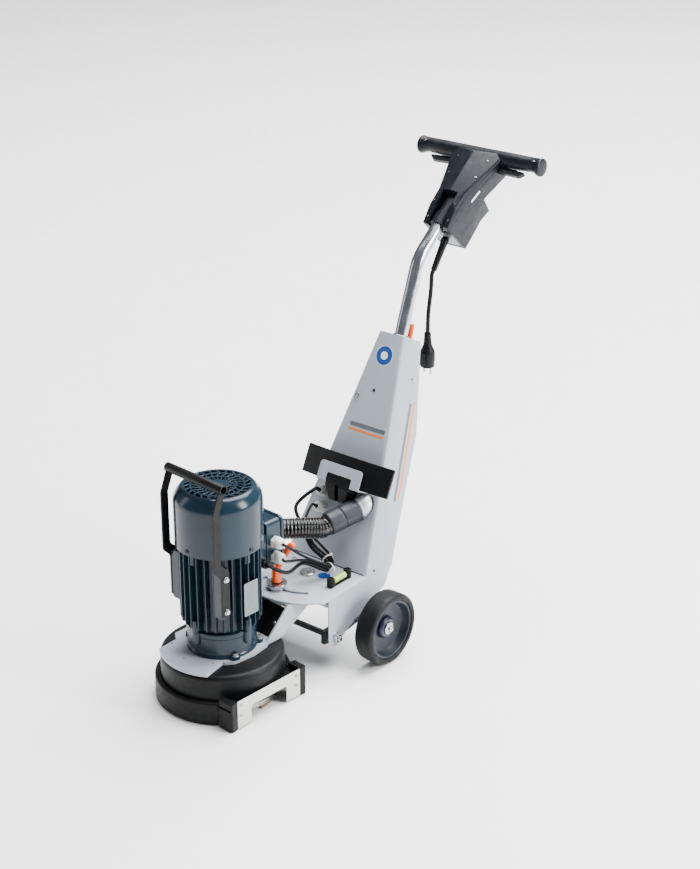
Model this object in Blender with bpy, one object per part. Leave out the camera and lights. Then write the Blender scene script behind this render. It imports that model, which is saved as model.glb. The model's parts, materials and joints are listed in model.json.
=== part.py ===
"""Walk-behind concrete floor grinder, single 250 mm disc.

Metres, +Z up, floor at z = 0.  The grinding head looks towards -Y, the
operator stands at +Y.  Every separate piece of the machine is one object.
"""
import math

import bmesh
import bpy
from mathutils import Matrix, Vector

for old in list(bpy.data.objects):
    bpy.data.objects.remove(old, do_unlink=True)

# ---------------------------------------------------------------- dimensions
ORIGIN_SHIFT = Vector((0.0, -0.13286, 0.0))   # swivel axis relative to the frame origin
FIT_GAP = 0.0004                             # clearance between touching pieces

HEAD_SWING = math.radians(-4.1)              # head turned about the swivel pin at rest
ARM_LENGTH = 0.277                           # swivel pin to motor axis

DECK_TOP = 0.1936
DECK_THICK = 0.004
DECK_RADIUS = 0.150
SIDE_HALF_WIDTH = 0.1222
SHEET = 0.003
SIDE_FRONT_Y = -0.068
FRAME_PIVOT_Y = -0.0447
FRAME_PIVOT_Z = 0.0838
SLOT_RADIUS = 0.102
SLOT_HALF_ANGLE = math.radians(41.0)
SLOT_WIDTH = 0.0125

COLUMN_FOOT_Y = 0.0695
COLUMN_TOP_FRONT = (0.3156, 0.7037)
COLUMN_TOP_BACK = (0.3760, 0.6757)
COLUMN_KINK = (0.3170, 0.4626)
COLUMN_BACK_LOW = (0.2100, 0.2725)
COLUMN_BACK_FOOT = (0.1670, 0.1900)
COLUMN_TOP_HALF_WIDTH = 0.0376
WIDTH_SLOPE = (SIDE_HALF_WIDTH - COLUMN_TOP_HALF_WIDTH) / (COLUMN_TOP_FRONT[1] - DECK_TOP)

WHEEL_RADIUS = 0.0875
WHEEL_WIDTH = 0.049
WHEEL_OUTER_X = 0.211
AXLE_Y = 0.0604
AXLE_RADIUS = 0.010

PLATE_BOTTOM = 0.1158
PLATE_TOP = 0.1243
HOOD_RADIUS = 0.1422
HOOD_TOP = 0.1154
SKIRT_RADIUS = 0.156
SKIRT_HEIGHT = 0.056
DISC_RADIUS = 0.125
EDGE_PLATE_X = 0.150
EDGE_HALF_LENGTH = 0.0975
EDGE_TOP = 0.072

BELL_RADIUS = 0.080
MOTOR_CORE_RADIUS = 0.076
MOTOR_FIN_RADIUS = 0.0925
MOTOR_LOW = 0.186
MOTOR_HIGH = 0.384
COVER_RADIUS = 0.0992
COVER_BOTTOM = 0.3828
COVER_TOP = 0.5201

TUBE_RADIUS = 0.016
TUBE_ANGLE = math.radians(70.0)
TUBE_BEND = (0.4160, 0.8636)
GRIP_ANGLE = math.radians(38.9)
BAR_ALONG = 0.318
BAR_HALF_LENGTH = 0.180
CORD_RADIUS = 0.0052

COLOURS = {
    "grey_paint": (0.55, 0.60, 0.63, 1.0, 0.4, 0.0),
    "motor_paint": (0.060, 0.095, 0.120, 1.0, 0.3, 0.0),
    "black_paint": (0.020, 0.021, 0.023, 1.0, 0.45, 0.0),
    "black_rubber": (0.022, 0.023, 0.025, 1.0, 0.7, 0.0),
    "slate_rubber": (0.050, 0.056, 0.066, 1.0, 0.6, 0.0),
    "handle_plastic": (0.026, 0.034, 0.046, 1.0, 0.45, 0.0),
    "zinc": (0.62, 0.63, 0.62, 1.0, 0.25, 1.0),
    "stainless": (0.52, 0.51, 0.49, 1.0, 0.35, 1.0),
    "steel": (0.35, 0.35, 0.36, 1.0, 0.35, 1.0),
    "orange_plastic": (0.80, 0.13, 0.015, 1.0, 0.4, 0.0),
    "light_plastic": (0.68, 0.69, 0.66, 1.0, 0.5, 0.0),
    "frame_paint": (0.030, 0.044, 0.042, 1.0, 0.45, 0.0),
    "rim_plastic": (0.095, 0.125, 0.155, 1.0, 0.5, 0.0),
    "vial": (0.55, 0.80, 0.16, 1.0, 0.2, 0.0),
    "bronze": (0.42, 0.33, 0.24, 1.0, 0.5, 0.6),
}

MAIN = Matrix.Translation(ORIGIN_SHIFT)
HEAD = MAIN @ Matrix.Rotation(HEAD_SWING, 4, "Z")
MOTOR = HEAD @ Matrix.Translation((0.0, -ARM_LENGTH, 0.0))
GRIP = MAIN @ Matrix.Translation((0.0, TUBE_BEND[0], TUBE_BEND[1])) @ Matrix.Rotation(GRIP_ANGLE, 4, "X")
TUBE = MAIN @ Matrix.Translation((0.0, TUBE_BEND[0], TUBE_BEND[1])) @ Matrix.Rotation(TUBE_ANGLE, 4, "X")
# a prism drawn in (y, z) and extruded along x
ALONG_X = Matrix(((0, 0, 1, 0), (1, 0, 0, 0), (0, 1, 0, 0), (0, 0, 0, 1)))
# a prism drawn in (x, z) and extruded along -y
ALONG_Y = Matrix(((1, 0, 0, 0), (0, 0, -1, 0), (0, 1, 0, 0), (0, 0, 0, 1)))


# ------------------------------------------------------------------ builders
def material_for(obj, colour):
    """Give the object its own plain material."""
    red, green, blue, alpha, rough, metal = COLOURS[colour]
    mat = bpy.data.materials.new(obj.name + "_material")
    mat.use_nodes = True
    shader = mat.node_tree.nodes["Principled BSDF"]
    shader.inputs["Base Color"].default_value = (red, green, blue, alpha)
    shader.inputs["Roughness"].default_value = rough
    shader.inputs["Metallic"].default_value = metal
    obj.data.materials.clear()
    obj.data.materials.append(mat)


def mesh_object(name, verts, faces, matrix):
    """One mesh object from points in a local frame."""
    mesh = bpy.data.meshes.new(name)
    mesh.from_pydata([matrix @ Vector(v) for v in verts], [], faces)
    bm = bmesh.new()
    bm.from_mesh(mesh)
    bmesh.ops.recalc_face_normals(bm, faces=bm.faces)
    bm.to_mesh(mesh)
    bm.free()
    obj = bpy.data.objects.new(name, mesh)
    bpy.context.scene.collection.objects.link(obj)
    return obj


def prism(name, outline, low, high, matrix):
    """Extrude a 2-D outline along the local z axis."""
    count = len(outline)
    verts = [(x, y, low) for x, y in outline] + [(x, y, high) for x, y in outline]
    faces = [tuple(range(count)), tuple(range(count, 2 * count))]
    for i in range(count):
        j = (i + 1) % count
        faces.append((i, j, count + j, count + i))
    return mesh_object(name, verts, faces, matrix)


def box(name, low, high, matrix):
    """Box between two corners."""
    outline = [(low[0], low[1]), (high[0], low[1]), (high[0], high[1]), (low[0], high[1])]
    return prism(name, outline, low[2], high[2], matrix)


def lathe(name, profile, segments, matrix, closed=False):
    """Turn a profile of (radius, height) about the local z axis."""
    verts = []
    rings = []
    for radius, height in profile:
        if radius < 1e-7:
            rings.append([len(verts)])
            verts.append((0.0, 0.0, height))
            continue
        ring = []
        for k in range(segments):
            angle = 2.0 * math.pi * k / segments
            ring.append(len(verts))
            verts.append((radius * math.cos(angle), radius * math.sin(angle), height))
        rings.append(ring)
    faces = []
    pairs = list(zip(rings, rings[1:]))
    if closed:
        pairs.append((rings[-1], rings[0]))
    for lower, upper in pairs:
        for k in range(segments):
            n = (k + 1) % segments
            if len(lower) == 1 and len(upper) == 1:
                continue
            if len(lower) == 1:
                faces.append((lower[0], upper[k], upper[n]))
            elif len(upper) == 1:
                faces.append((lower[k], lower[n], upper[0]))
            else:
                faces.append((lower[k], lower[n], upper[n], upper[k]))
    return mesh_object(name, verts, faces, matrix)


def rod(name, radius, low, high, segments, matrix, chamfer=0.0):
    """Solid round bar along the local z axis."""
    if chamfer:
        profile = [(0, low), (radius - chamfer, low), (radius, low + chamfer),
                   (radius, high - chamfer), (radius - chamfer, high), (0, high)]
    else:
        profile = [(0, low), (radius, low), (radius, high), (0, high)]
    return lathe(name, profile, segments, matrix)


def ring(name, inner, outer, low, high, segments, matrix):
    """Hollow round sleeve along the local z axis."""
    profile = [(inner, low), (outer, low), (outer, high), (inner, high)]
    return lathe(name, profile, segments, matrix, closed=True)


def curve_points(knots, per_span):
    """Smooth path through the knots (Catmull-Rom)."""
    pts = [Vector(k) for k in knots]
    ends = [2 * pts[0] - pts[1]] + pts + [2 * pts[-1] - pts[-2]]
    path = []
    for i in range(1, len(ends) - 2):
        p0, p1, p2, p3 = ends[i - 1:i + 3]
        for k in range(per_span):
            t = k / per_span
            path.append(0.5 * (2 * p1 + (p2 - p0) * t + (2 * p0 - 5 * p1 + 4 * p2 - p3) * t * t
                               + (3 * p1 - p0 - 3 * p2 + p3) * t ** 3))
    path.append(pts[-1])
    return path


def pipe(name, path, outer, inner, sides, matrix):
    """Round bar (inner = 0) or hollow pipe along a path; outer may be a list."""
    path = [Vector(p) for p in path]
    outers = outer if isinstance(outer, (list, tuple)) else [outer] * len(path)
    tangents = []
    for i in range(len(path)):
        ahead = path[min(i + 1, len(path) - 1)] - path[max(i - 1, 0)]
        tangents.append(ahead.normalized())
    side = tangents[0].orthogonal().normalized()
    loops_out = []
    loops_in = []
    verts = []
    for i, point in enumerate(path):
        side = (side - tangents[i] * side.dot(tangents[i])).normalized()
        up = tangents[i].cross(side)
        for radius, loops in ((outers[i], loops_out), (inner, loops_in)):
            loop = []
            if radius > 0:
                for k in range(sides):
                    angle = 2.0 * math.pi * k / sides
                    loop.append(len(verts))
                    verts.append(point + (side * math.cos(angle) + up * math.sin(angle)) * radius)
            loops.append(loop)
    faces = []
    for loops in (loops_out, loops_in):
        for a, b in zip(loops, loops[1:]):
            for k in range(len(a)):
                n = (k + 1) % sides
                faces.append((a[k], a[n], b[n], b[k]))
    if inner > 0:
        for end in (0, -1):
            for k in range(sides):
                n = (k + 1) % sides
                faces.append((loops_out[end][k], loops_out[end][n], loops_in[end][n], loops_in[end][k]))
    else:
        faces.append(tuple(loops_out[0]))
        faces.append(tuple(loops_out[-1]))
    return mesh_object(name, verts, faces, matrix)


def combine(target, tools, operation):
    """Exact Boolean with each tool in turn; the tools are used up."""
    for tool in tools:
        modifier = target.modifiers.new("shape", "BOOLEAN")
        modifier.operation = operation
        modifier.solver = "EXACT"
        modifier.object = tool
        graph = bpy.context.evaluated_depsgraph_get()
        shaped = bpy.data.meshes.new_from_object(target.evaluated_get(graph))
        target.modifiers.clear()
        target.data = shaped
        bpy.data.objects.remove(tool, do_unlink=True)
    bm = bmesh.new()
    bm.from_mesh(target.data)
    bmesh.ops.remove_doubles(bm, verts=bm.verts, dist=0.00002)
    bmesh.ops.dissolve_degenerate(bm, edges=bm.edges, dist=0.00002)
    bm.to_mesh(target.data)
    bm.free()
    return target


def join(target, tools):
    return combine(target, tools, "UNION")


def cut(target, tools):
    return combine(target, tools, "DIFFERENCE")


def keep_common(target, tools):
    return combine(target, tools, "INTERSECT")


def finish(obj, colour, round_piece=False, pivot=None):
    """Colour, shading and origin of a finished piece."""
    material_for(obj, colour)
    for polygon in obj.data.polygons:
        polygon.use_smooth = round_piece
    if round_piece:
        bm = bmesh.new()
        bm.from_mesh(obj.data)
        for edge in bm.edges:
            if len(edge.link_faces) == 2 and edge.calc_face_angle(0.0) > math.radians(38.0):
                edge.smooth = False
        bm.to_mesh(obj.data)
        bm.free()
    if pivot is not None:
        obj.data.transform(Matrix.Translation(-pivot))
        obj.location = pivot
    return obj


def place(matrix, point, direction):
    """Frame at a local point with its z axis along a local direction."""
    turn = Vector((0, 0, 1)).rotation_difference(Vector(direction).normalized())
    return matrix @ Matrix.Translation(point) @ turn.to_matrix().to_4x4()


def arc(centre_x, centre_y, radius, start, end, steps):
    """Points of a circular arc, angles in radians."""
    points = []
    for k in range(steps + 1):
        angle = start + (end - start) * k / steps
        points.append((centre_x + radius * math.cos(angle), centre_y + radius * math.sin(angle)))
    return points


# -------------------------------------------------------------- joint points
swivel_point = MAIN @ Vector((0.0, 0.0, DECK_TOP))
motor_point = MOTOR @ Vector((0.0, 0.0, 0.12))
frame_point = MAIN @ Vector((0.0, FRAME_PIVOT_Y, FRAME_PIVOT_Z))
left_wheel_point = MAIN @ Vector((-(WHEEL_OUTER_X - WHEEL_WIDTH / 2), AXLE_Y, WHEEL_RADIUS))
right_wheel_point = MAIN @ Vector((WHEEL_OUTER_X - WHEEL_WIDTH / 2, AXLE_Y, WHEEL_RADIUS))
clamp_point = HEAD @ Vector((0.0, -SLOT_RADIUS, 0.21))
handle_point = TUBE @ Vector((0.0, -0.19, 0.0))

# ------------------------------------------------------------------- chassis
# One folded sheet: deck and vertical side plates, then the leaning column.
corner = 0.007


def channel_outline(half, top, bottom, wall, roof, radius):
    """Inverted U section with rounded outer corners, drawn in (x, z)."""
    right = arc(half - radius, top - radius, radius, math.pi / 2, 0.0, 3)
    left = arc(-half + radius, top - radius, radius, math.pi, math.pi / 2, 3)
    return left + right + [(half, bottom), (half - wall, bottom), (half - wall, top - roof),
                           (-half + wall, top - roof), (-half + wall, bottom), (-half, bottom)]


chassis = prism("chassis_shell", channel_outline(SIDE_HALF_WIDTH, DECK_TOP, 0.05, SHEET, DECK_THICK, corner),
                -0.1665, 0.20, MAIN @ ALONG_Y)
side_view = [(-0.18, 0.25), (-0.18, 0.1875), (SIDE_FRONT_Y, 0.1875)]
side_view += arc(FRAME_PIVOT_Y, FRAME_PIVOT_Z, 0.0228, math.pi, 1.5 * math.pi + 0.25, 6)
side_view += [(-0.006, 0.083), (0.0276, 0.0995), (0.060, 0.1130), (0.100, 0.1250), (0.1400, 0.1450),
              (0.1665, 0.1930), (0.1665, 0.25)]
keep_common(chassis, [prism("side_view", side_view, -0.2, 0.2, MAIN @ ALONG_X)])
front_angle = math.asin(SIDE_HALF_WIDTH / DECK_RADIUS)
deck_view = arc(0, 0, DECK_RADIUS, -math.pi / 2 - front_angle, -math.pi / 2 + front_angle, 20)
deck_view += [(SIDE_HALF_WIDTH + 0.01, deck_view[-1][1]), (SIDE_HALF_WIDTH + 0.01, 0.2),
              (-SIDE_HALF_WIDTH - 0.01, 0.2), (-SIDE_HALF_WIDTH - 0.01, deck_view[0][1])]
keep_common(chassis, [prism("deck_view", deck_view, 0.0, 0.3, MAIN)])


def column_section(front, back):
    """Closed C section of the folded column at one skewed level."""
    front_half = SIDE_HALF_WIDTH - WIDTH_SLOPE * (front[1] - DECK_TOP)
    back_half = SIDE_HALF_WIDTH - WIDTH_SLOPE * (back[1] - DECK_TOP)
    lip = 0.014
    bend = 0.008
    length = math.hypot(back[0] - front[0], back[1] - front[1])
    step_y = (back[0] - front[0]) / length
    step_z = (back[1] - front[1]) / length
    section = []
    for x, along in ((back_half - lip, length), (back_half, length), (front_half, bend),
                     (front_half - bend * 0.3, bend * 0.3), (front_half - bend, 0.0)):
        section.append((x, front[0] + step_y * along, front[1] + step_z * along))
    outer = section + [(-x, y, z) for x, y, z in reversed(section)]
    section = []
    for x, along in ((back_half - lip, length - SHEET), (back_half - SHEET, length - SHEET),
                     (front_half - SHEET, bend), (front_half - bend * 0.45, bend * 0.45 + 0.0009),
                     (front_half - bend, SHEET)):
        section.append((x, front[0] + step_y * along, front[1] + step_z * along))
    inner = section + [(-x, y, z) for x, y, z in reversed(section)]
    return outer + list(reversed(inner))


def loft(name, sections, matrix):
    """Closed body through sections with equal point counts."""
    count = len(sections[0])
    verts = [p for section in sections for p in section]
    faces = [tuple(range(count)), tuple(range((len(sections) - 1) * count, len(sections) * count))]
    for s in range(len(sections) - 1):
        for i in range(count):
            j = (i + 1) % count
            faces.append((s * count + i, s * count + j, (s + 1) * count + j, (s + 1) * count + i))
    return mesh_object(name, verts, faces, matrix)


def column_front_y(z):
    """Y of the column's front panel at a height."""
    share = (z - DECK_TOP) / (COLUMN_TOP_FRONT[1] - DECK_TOP)
    return COLUMN_FOOT_Y + share * (COLUMN_TOP_FRONT[0] - COLUMN_FOOT_Y)


column = loft("column", [
    column_section((column_front_y(0.1905), 0.1905), COLUMN_BACK_FOOT),
    column_section((column_front_y(COLUMN_BACK_LOW[1]), COLUMN_BACK_LOW[1]), COLUMN_BACK_LOW),
    column_section((column_front_y(COLUMN_KINK[1]), COLUMN_KINK[1]), COLUMN_KINK),
    column_section(COLUMN_TOP_FRONT, COLUMN_TOP_BACK)], MAIN)
join(chassis, [column])

front_normal = Vector((0.0, -(COLUMN_TOP_FRONT[1] - DECK_TOP),
                       COLUMN_TOP_FRONT[0] - COLUMN_FOOT_Y)).normalized()
slot_outline = arc(0, 0, SLOT_RADIUS + SLOT_WIDTH / 2, -math.pi / 2 - SLOT_HALF_ANGLE,
                   -math.pi / 2 + SLOT_HALF_ANGLE, 14)
slot_outline += arc(0, 0, SLOT_RADIUS - SLOT_WIDTH / 2, -math.pi / 2 + SLOT_HALF_ANGLE,
                    -math.pi / 2 - SLOT_HALF_ANGLE, 14)
suction_centre = Vector((0.0545, column_front_y(0.3304), 0.3304))
suction_axis = Vector((-0.3335, -0.9125, -0.2160)).normalized()
UPPER_GLAND = Vector((-0.0610, column_front_y(0.338), 0.338))
LOWER_GLAND = Vector((-0.0560, column_front_y(0.303), 0.303))
HIDDEN_GLAND = Vector((-0.0560, column_front_y(0.250), 0.250))
cut(chassis, [
    prism("slot", slot_outline, DECK_TOP - 0.02, DECK_TOP + 0.02, MAIN),
    rod("pin_hole", 0.0104, DECK_TOP - 0.02, DECK_TOP + 0.02, 20, MAIN),
    rod("bolt_hole", 0.0064, -0.2, 0.2, 16, place(MAIN, (0, FRAME_PIVOT_Y, FRAME_PIVOT_Z), (1, 0, 0))),
    rod("suction_hole", 0.0290, -0.0325, 0.055, 24, place(MAIN, suction_centre, suction_axis)),
    rod("gland_hole_a", 0.0084, -0.02, 0.02, 12, place(MAIN, UPPER_GLAND, front_normal)),
    rod("gland_hole_b", 0.0084, -0.02, 0.02, 12, place(MAIN, LOWER_GLAND, front_normal)),
    rod("gland_hole_c", 0.0084, -0.02, 0.02, 12, place(MAIN, HIDDEN_GLAND, front_normal)),
    rod("relief_left", 0.004, -0.13, -0.11, 8, place(MAIN, (0, 0.100, 0.1975), (1, 0, 0))),
    rod("relief_right", 0.004, 0.11, 0.13, 8, place(MAIN, (0, 0.100, 0.1975), (1, 0, 0))),
])
finish(chassis, "grey_paint")


def rear_panel(front, back, inset, lift):
    """Edge points of the rear cover at one level (two skins)."""
    half = SIDE_HALF_WIDTH - WIDTH_SLOPE * (back[1] - DECK_TOP) - inset
    length = math.hypot(back[0] - front[0], back[1] - front[1])
    step_y = (back[0] - front[0]) / length
    step_z = (back[1] - front[1]) / length
    near = (back[0] + step_y * lift, back[1] + step_z * lift)
    far = (back[0] + step_y * (lift + 0.002), back[1] + step_z * (lift + 0.002))
    return [(-half, near[0], near[1]), (half, near[0], near[1]), (half, far[0], far[1]),
            (-half, far[0], far[1])]


cover_low = (COLUMN_BACK_FOOT[0] + 0.006, COLUMN_BACK_FOOT[1] + 0.012)
cover_high = (COLUMN_TOP_BACK[0] - 0.020, COLUMN_TOP_BACK[1] - 0.073)
rear_cover = loft("rear_cover", [
    rear_panel((column_front_y(0.20), 0.20), cover_low, 0.003, FIT_GAP),
    rear_panel((column_front_y(COLUMN_BACK_LOW[1]), COLUMN_BACK_LOW[1]), COLUMN_BACK_LOW, 0.003, FIT_GAP),
    rear_panel((column_front_y(COLUMN_KINK[1]), COLUMN_KINK[1]), COLUMN_KINK, 0.003, FIT_GAP),
    rear_panel((0.2950, 0.6325), cover_high, 0.003, FIT_GAP)], MAIN)
port_z = 0.345
port_y = COLUMN_BACK_LOW[0] + (port_z - COLUMN_BACK_LOW[1]) / 1.777
port_axis = Vector((0.0, 0.871, -0.490))
cut(rear_cover, [rod("port_hole", 0.0300, -0.02, 0.02, 24, place(MAIN, (0.0, port_y, port_z), port_axis))])
finish(rear_cover, "grey_paint")

# suction pipe: from the cuff through the column to the port in the rear cover
pipe_start = suction_centre + suction_axis * 0.040
rear_port = Vector((0.0, port_y, port_z)) + port_axis * 0.030
pipe_path = curve_points([pipe_start, suction_centre + suction_axis * 0.014,
                          suction_centre - suction_axis * 0.012,
                          Vector((0.0480, 0.1840, 0.3380)),
                          Vector((0.0, port_y, port_z)) - port_axis * 0.020, rear_port], 3)
suction_pipe = pipe("suction_pipe", pipe_path, 0.0255, 0.0235, 14, MAIN)
finish(suction_pipe, "zinc", True)

# guide sleeve for the telescopic handle tube, with the cross web that holds it
guide_low = -0.395
guide_high = -0.190
tube_guide = ring("tube_guide", TUBE_RADIUS + 0.0005, TUBE_RADIUS + 0.0035, guide_low, guide_high, 16,
                  place(TUBE, (0, 0, 0), (0, 1, 0)))
clamp_along = -0.222
join(tube_guide, [rod("clamp_boss", 0.010, 0.0170, 0.0305, 12, place(TUBE, (0, clamp_along, 0), (0, 0, -1)))])
cut(tube_guide, [rod("stud_bore", 0.0047, 0.010, 0.035, 10, place(TUBE, (0, clamp_along, 0), (0, 0, -1)))])
finish(tube_guide, "steel", True)


def clamp_lever(name, frame, hub_height, arm_path, arm_radii, stud_length):
    """Orange clamping lever: hub, arm and the threaded stud along local -z."""
    hub = lathe(name, [(0, 0.0), (0.0115, 0.0), (0.0120, 0.004), (0.0105, hub_height - 0.008),
                       (0.0100, hub_height - 0.003), (0.0070, hub_height), (0, hub_height)], 14, frame)
    arm = pipe("arm", arm_path, arm_radii, 0, 10, frame)
    stud = rod("stud", 0.0042, -stud_length, 0.003, 10, frame)
    return join(hub, [arm, stud])


# the arm of the rear lever lies along the tube, pointing up
rear_lever_frame = TUBE @ Matrix.Translation((0, clamp_along, -0.0311)) @ Matrix.Rotation(math.pi, 4, "X")
rear_arm = [(0.0, -0.002, 0.0070), (0.0, -0.018, 0.0085), (0.0, -0.044, 0.0080), (0.0, -0.066, 0.0065)]
tube_clamp_lever = clamp_lever("tube_clamp_lever", rear_lever_frame, 0.0170, rear_arm,
                               [0.0062, 0.0060, 0.0064, 0.0056], 0.0120)
finish(tube_clamp_lever, "orange_plastic", True, rear_lever_frame.translation.copy())

# bumper on the front of the column with the bracket of the parking hook
# bumper frame: x across, y up the column's front panel, z out of the panel
across = Vector((1.0, 0.0, 0.0))
up_panel = front_normal.cross(across)
BUMPER = MAIN @ Matrix.Translation((0.0, column_front_y(0.3973), 0.3973)) @ Matrix((
    (across.x, up_panel.x, front_normal.x, 0), (across.y, up_panel.y, front_normal.y, 0),
    (across.z, up_panel.z, front_normal.z, 0), (0, 0, 0, 1)))
bumper_half = 0.1290


def strip_outline(front, thickness):
    """Section of the bowed rubber strip, seen along the panel: x across, y out of the panel."""
    stations = [bumper_half * k / 6.0 for k in range(-6, 7)]
    outline = [(x, front - 0.0220 * (x / bumper_half) ** 2) for x in stations]
    return outline + [(x, y - thickness) for x, y in reversed(outline)]


bumper_pad = prism("bumper_pad", strip_outline(0.0430, 0.0080), -0.0350, 0.0350, BUMPER @ ALONG_Y)
bracket_outline = [(-0.0630, -0.0385), (-0.0630, 0.0030), (-0.0570, 0.0090), (0.0570, 0.0090),
                   (0.0630, 0.0030),
                   (0.0630, -0.0385), (0.0365, -0.0385), (0.0365, -0.0160), (-0.0365, -0.0160),
                   (-0.0365, -0.0385)]
bumper_bracket = prism("bumper_bracket", bracket_outline, 0.0434, 0.0464, BUMPER)
join(bumper_bracket, [
    box("foot_left", (-0.0630, -0.0385, 0.0004), (-0.0365, -0.0355, 0.0440), BUMPER),
    box("foot_right", (0.0365, -0.0385, 0.0004), (0.0630, -0.0355, 0.0440), BUMPER)])
finish(bumper_bracket, "grey_paint")
hook_outline = [(-0.0350, -0.0170), (0.0350, -0.0170), (0.0350, -0.0450), (0.0235, -0.0780),
                (0.0050, -0.0780),
                (0.0050, -0.0400), (-0.0050, -0.0400), (-0.0050, -0.0780), (-0.0235, -0.0780),
                (-0.0350, -0.0450)]
cable_hook = prism("cable_hook", hook_outline, 0.0004, 0.0460, BUMPER)
hook_side = [(-0.0150, 0.0002), (-0.0800, 0.0002), (-0.0800, 0.0280), (-0.0450, 0.0450), (-0.0150, 0.0450)]
keep_common(cable_hook, [prism("hook_side", hook_side, -0.05, 0.05, BUMPER @ ALONG_X)])
cut(bumper_pad, [box("hook_seat", (-0.0356, -0.0400, 0.0200), (0.0356, -0.0164, 0.0600), BUMPER)])
cut(cable_hook, [rod("cuff_room", 0.0300, -0.010, 0.120, 16, place(MAIN, suction_centre, suction_axis))])
finish(bumper_pad, "black_rubber")
finish(cable_hook, "black_rubber")

# cable glands on the column
def gland(name, frame, radius, cable_radius, nose, thread):
    """Plastic cable gland: hexagon, domed nut and thread, with the cable bore."""
    body = lathe(name, [(0, -thread), (radius * 0.52, -thread), (radius * 0.52, FIT_GAP), (radius, FIT_GAP),
                        (radius, nose * 0.5), (radius * 0.90, nose * 0.8), (radius * 0.60, nose), (0, nose)],
                 10, frame)
    return cut(body, [rod("bore", cable_radius + 0.0011, -thread - 0.01, nose + 0.01, 8, frame)])


for name, point in (("column_gland_upper", UPPER_GLAND), ("column_gland_lower", LOWER_GLAND),
                    ("column_gland_foot", HIDDEN_GLAND)):
    finish(gland(name, place(MAIN, point, front_normal), 0.0145, 0.0046, 0.024, 0.010), "light_plastic", True)

# spirit level on the deck: two posts on one base strip, and the vial between
level_holder = box("level_holder", (0.0820, -0.0260, DECK_TOP + FIT_GAP),
                   (0.0940, 0.0470, DECK_TOP + 0.0035), MAIN)
join(level_holder, [rod("post_front", 0.0093, DECK_TOP + 0.002, DECK_TOP + 0.0230, 16,
                        MAIN @ Matrix.Translation((0.0880, -0.0200, 0))),
                    rod("post_rear", 0.0093, DECK_TOP + 0.002, DECK_TOP + 0.0230, 16,
                        MAIN @ Matrix.Translation((0.0880, 0.0410, 0)))])
finish(level_holder, "black_rubber", True)
level_vial = rod("level_vial", 0.0075, -0.0205, 0.0205, 14,
                 place(MAIN, (0.0880, 0.0105, DECK_TOP + 0.0125), (0, 1, 0)), 0.001)
finish(level_vial, "vial", True)

# swivel pin through the deck and the arm
pivot_bolt = lathe("pivot_bolt", [(0, 0.1620), (0.0100, 0.1620), (0.0100, DECK_TOP + FIT_GAP),
                                  (0.0185, DECK_TOP + FIT_GAP), (0.0185, DECK_TOP + 0.0030),
                                  (0.0165, DECK_TOP + 0.0045), (0, DECK_TOP + 0.0045)], 24, MAIN)
finish(pivot_bolt, "zinc", True)

# control box inside the column
control_box = box("control_box", (-0.0380, 0.1150, 0.1980), (0.0620, 0.1650, 0.2800), MAIN)
finish(control_box, "light_plastic")

# --------------------------------------------------------------- wheel frame
bar_out = 0.1080
bar_in = 0.0960
frame_profile = [(-0.0660, 0.0670), (-0.0300, 0.0640), (0.0720, 0.0760), (0.0720, 0.1000), (0.0200, 0.0920),
                 (-0.0300, 0.1010), (-0.0660, 0.1010)]
wheel_frame = prism("wheel_frame", frame_profile, bar_in, bar_out, MAIN @ ALONG_X)
join(wheel_frame, [
    prism("left_bar", frame_profile, -bar_out, -bar_in, MAIN @ ALONG_X),
    box("cross_bar", (-bar_in - 0.001, -0.0655, 0.0880), (bar_in + 0.001, -0.0575, 0.1005), MAIN)])
cut(wheel_frame, [
    rod("axle_hole", AXLE_RADIUS + FIT_GAP, -0.2, 0.2, 20, place(MAIN, (0, AXLE_Y, WHEEL_RADIUS), (1, 0, 0))),
    rod("pivot_hole", 0.0064, -0.2, 0.2, 16, place(MAIN, (0, FRAME_PIVOT_Y, FRAME_PIVOT_Z), (1, 0, 0)))])
finish(wheel_frame, "frame_paint", False, frame_point)
for side, name in ((-1, "left_frame_bolt"), (1, "right_frame_bolt")):
    frame = place(MAIN, (side * SIDE_HALF_WIDTH, FRAME_PIVOT_Y, FRAME_PIVOT_Z), (side, 0, 0))
    bolt = lathe(name, [(0, -0.034), (0.0060, -0.034), (0.0060, FIT_GAP), (0.0125, FIT_GAP), (0.0125, 0.0025),
                        (0.0100, 0.0030), (0.0100, 0.0115), (0.0060, 0.0120), (0.0060, 0.0180),
                        (0, 0.0180)], 12, frame)
    finish(bolt, "zinc", True)
axle_inner = WHEEL_OUTER_X - WHEEL_WIDTH - 0.004
axle = lathe("axle", [(0, -WHEEL_OUTER_X + 0.004), (0.0060, -WHEEL_OUTER_X + 0.004),
                      (0.0060, -WHEEL_OUTER_X + 0.010),
                      (0.0145, -WHEEL_OUTER_X + 0.010), (0.0145, -WHEEL_OUTER_X + 0.0145),
                      (AXLE_RADIUS, -WHEEL_OUTER_X + 0.0145), (AXLE_RADIUS, -axle_inner),
                      (0.0145, -axle_inner),
                      (0.0145, -0.1085), (AXLE_RADIUS, -0.1085), (AXLE_RADIUS, 0.1085), (0.0145, 0.1085),
                      (0.0145, axle_inner), (AXLE_RADIUS, axle_inner), (AXLE_RADIUS, WHEEL_OUTER_X - 0.0145),
                      (0.0145, WHEEL_OUTER_X - 0.0145), (0.0145, WHEEL_OUTER_X - 0.010),
                      (0.0060, WHEEL_OUTER_X - 0.010), (0.0060, WHEEL_OUTER_X - 0.004),
                      (0, WHEEL_OUTER_X - 0.004)],
             12, place(MAIN, (0, AXLE_Y, WHEEL_RADIUS), (1, 0, 0)))
finish(axle, "zinc", True, frame_point)
rim_radius = 0.0720
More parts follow.
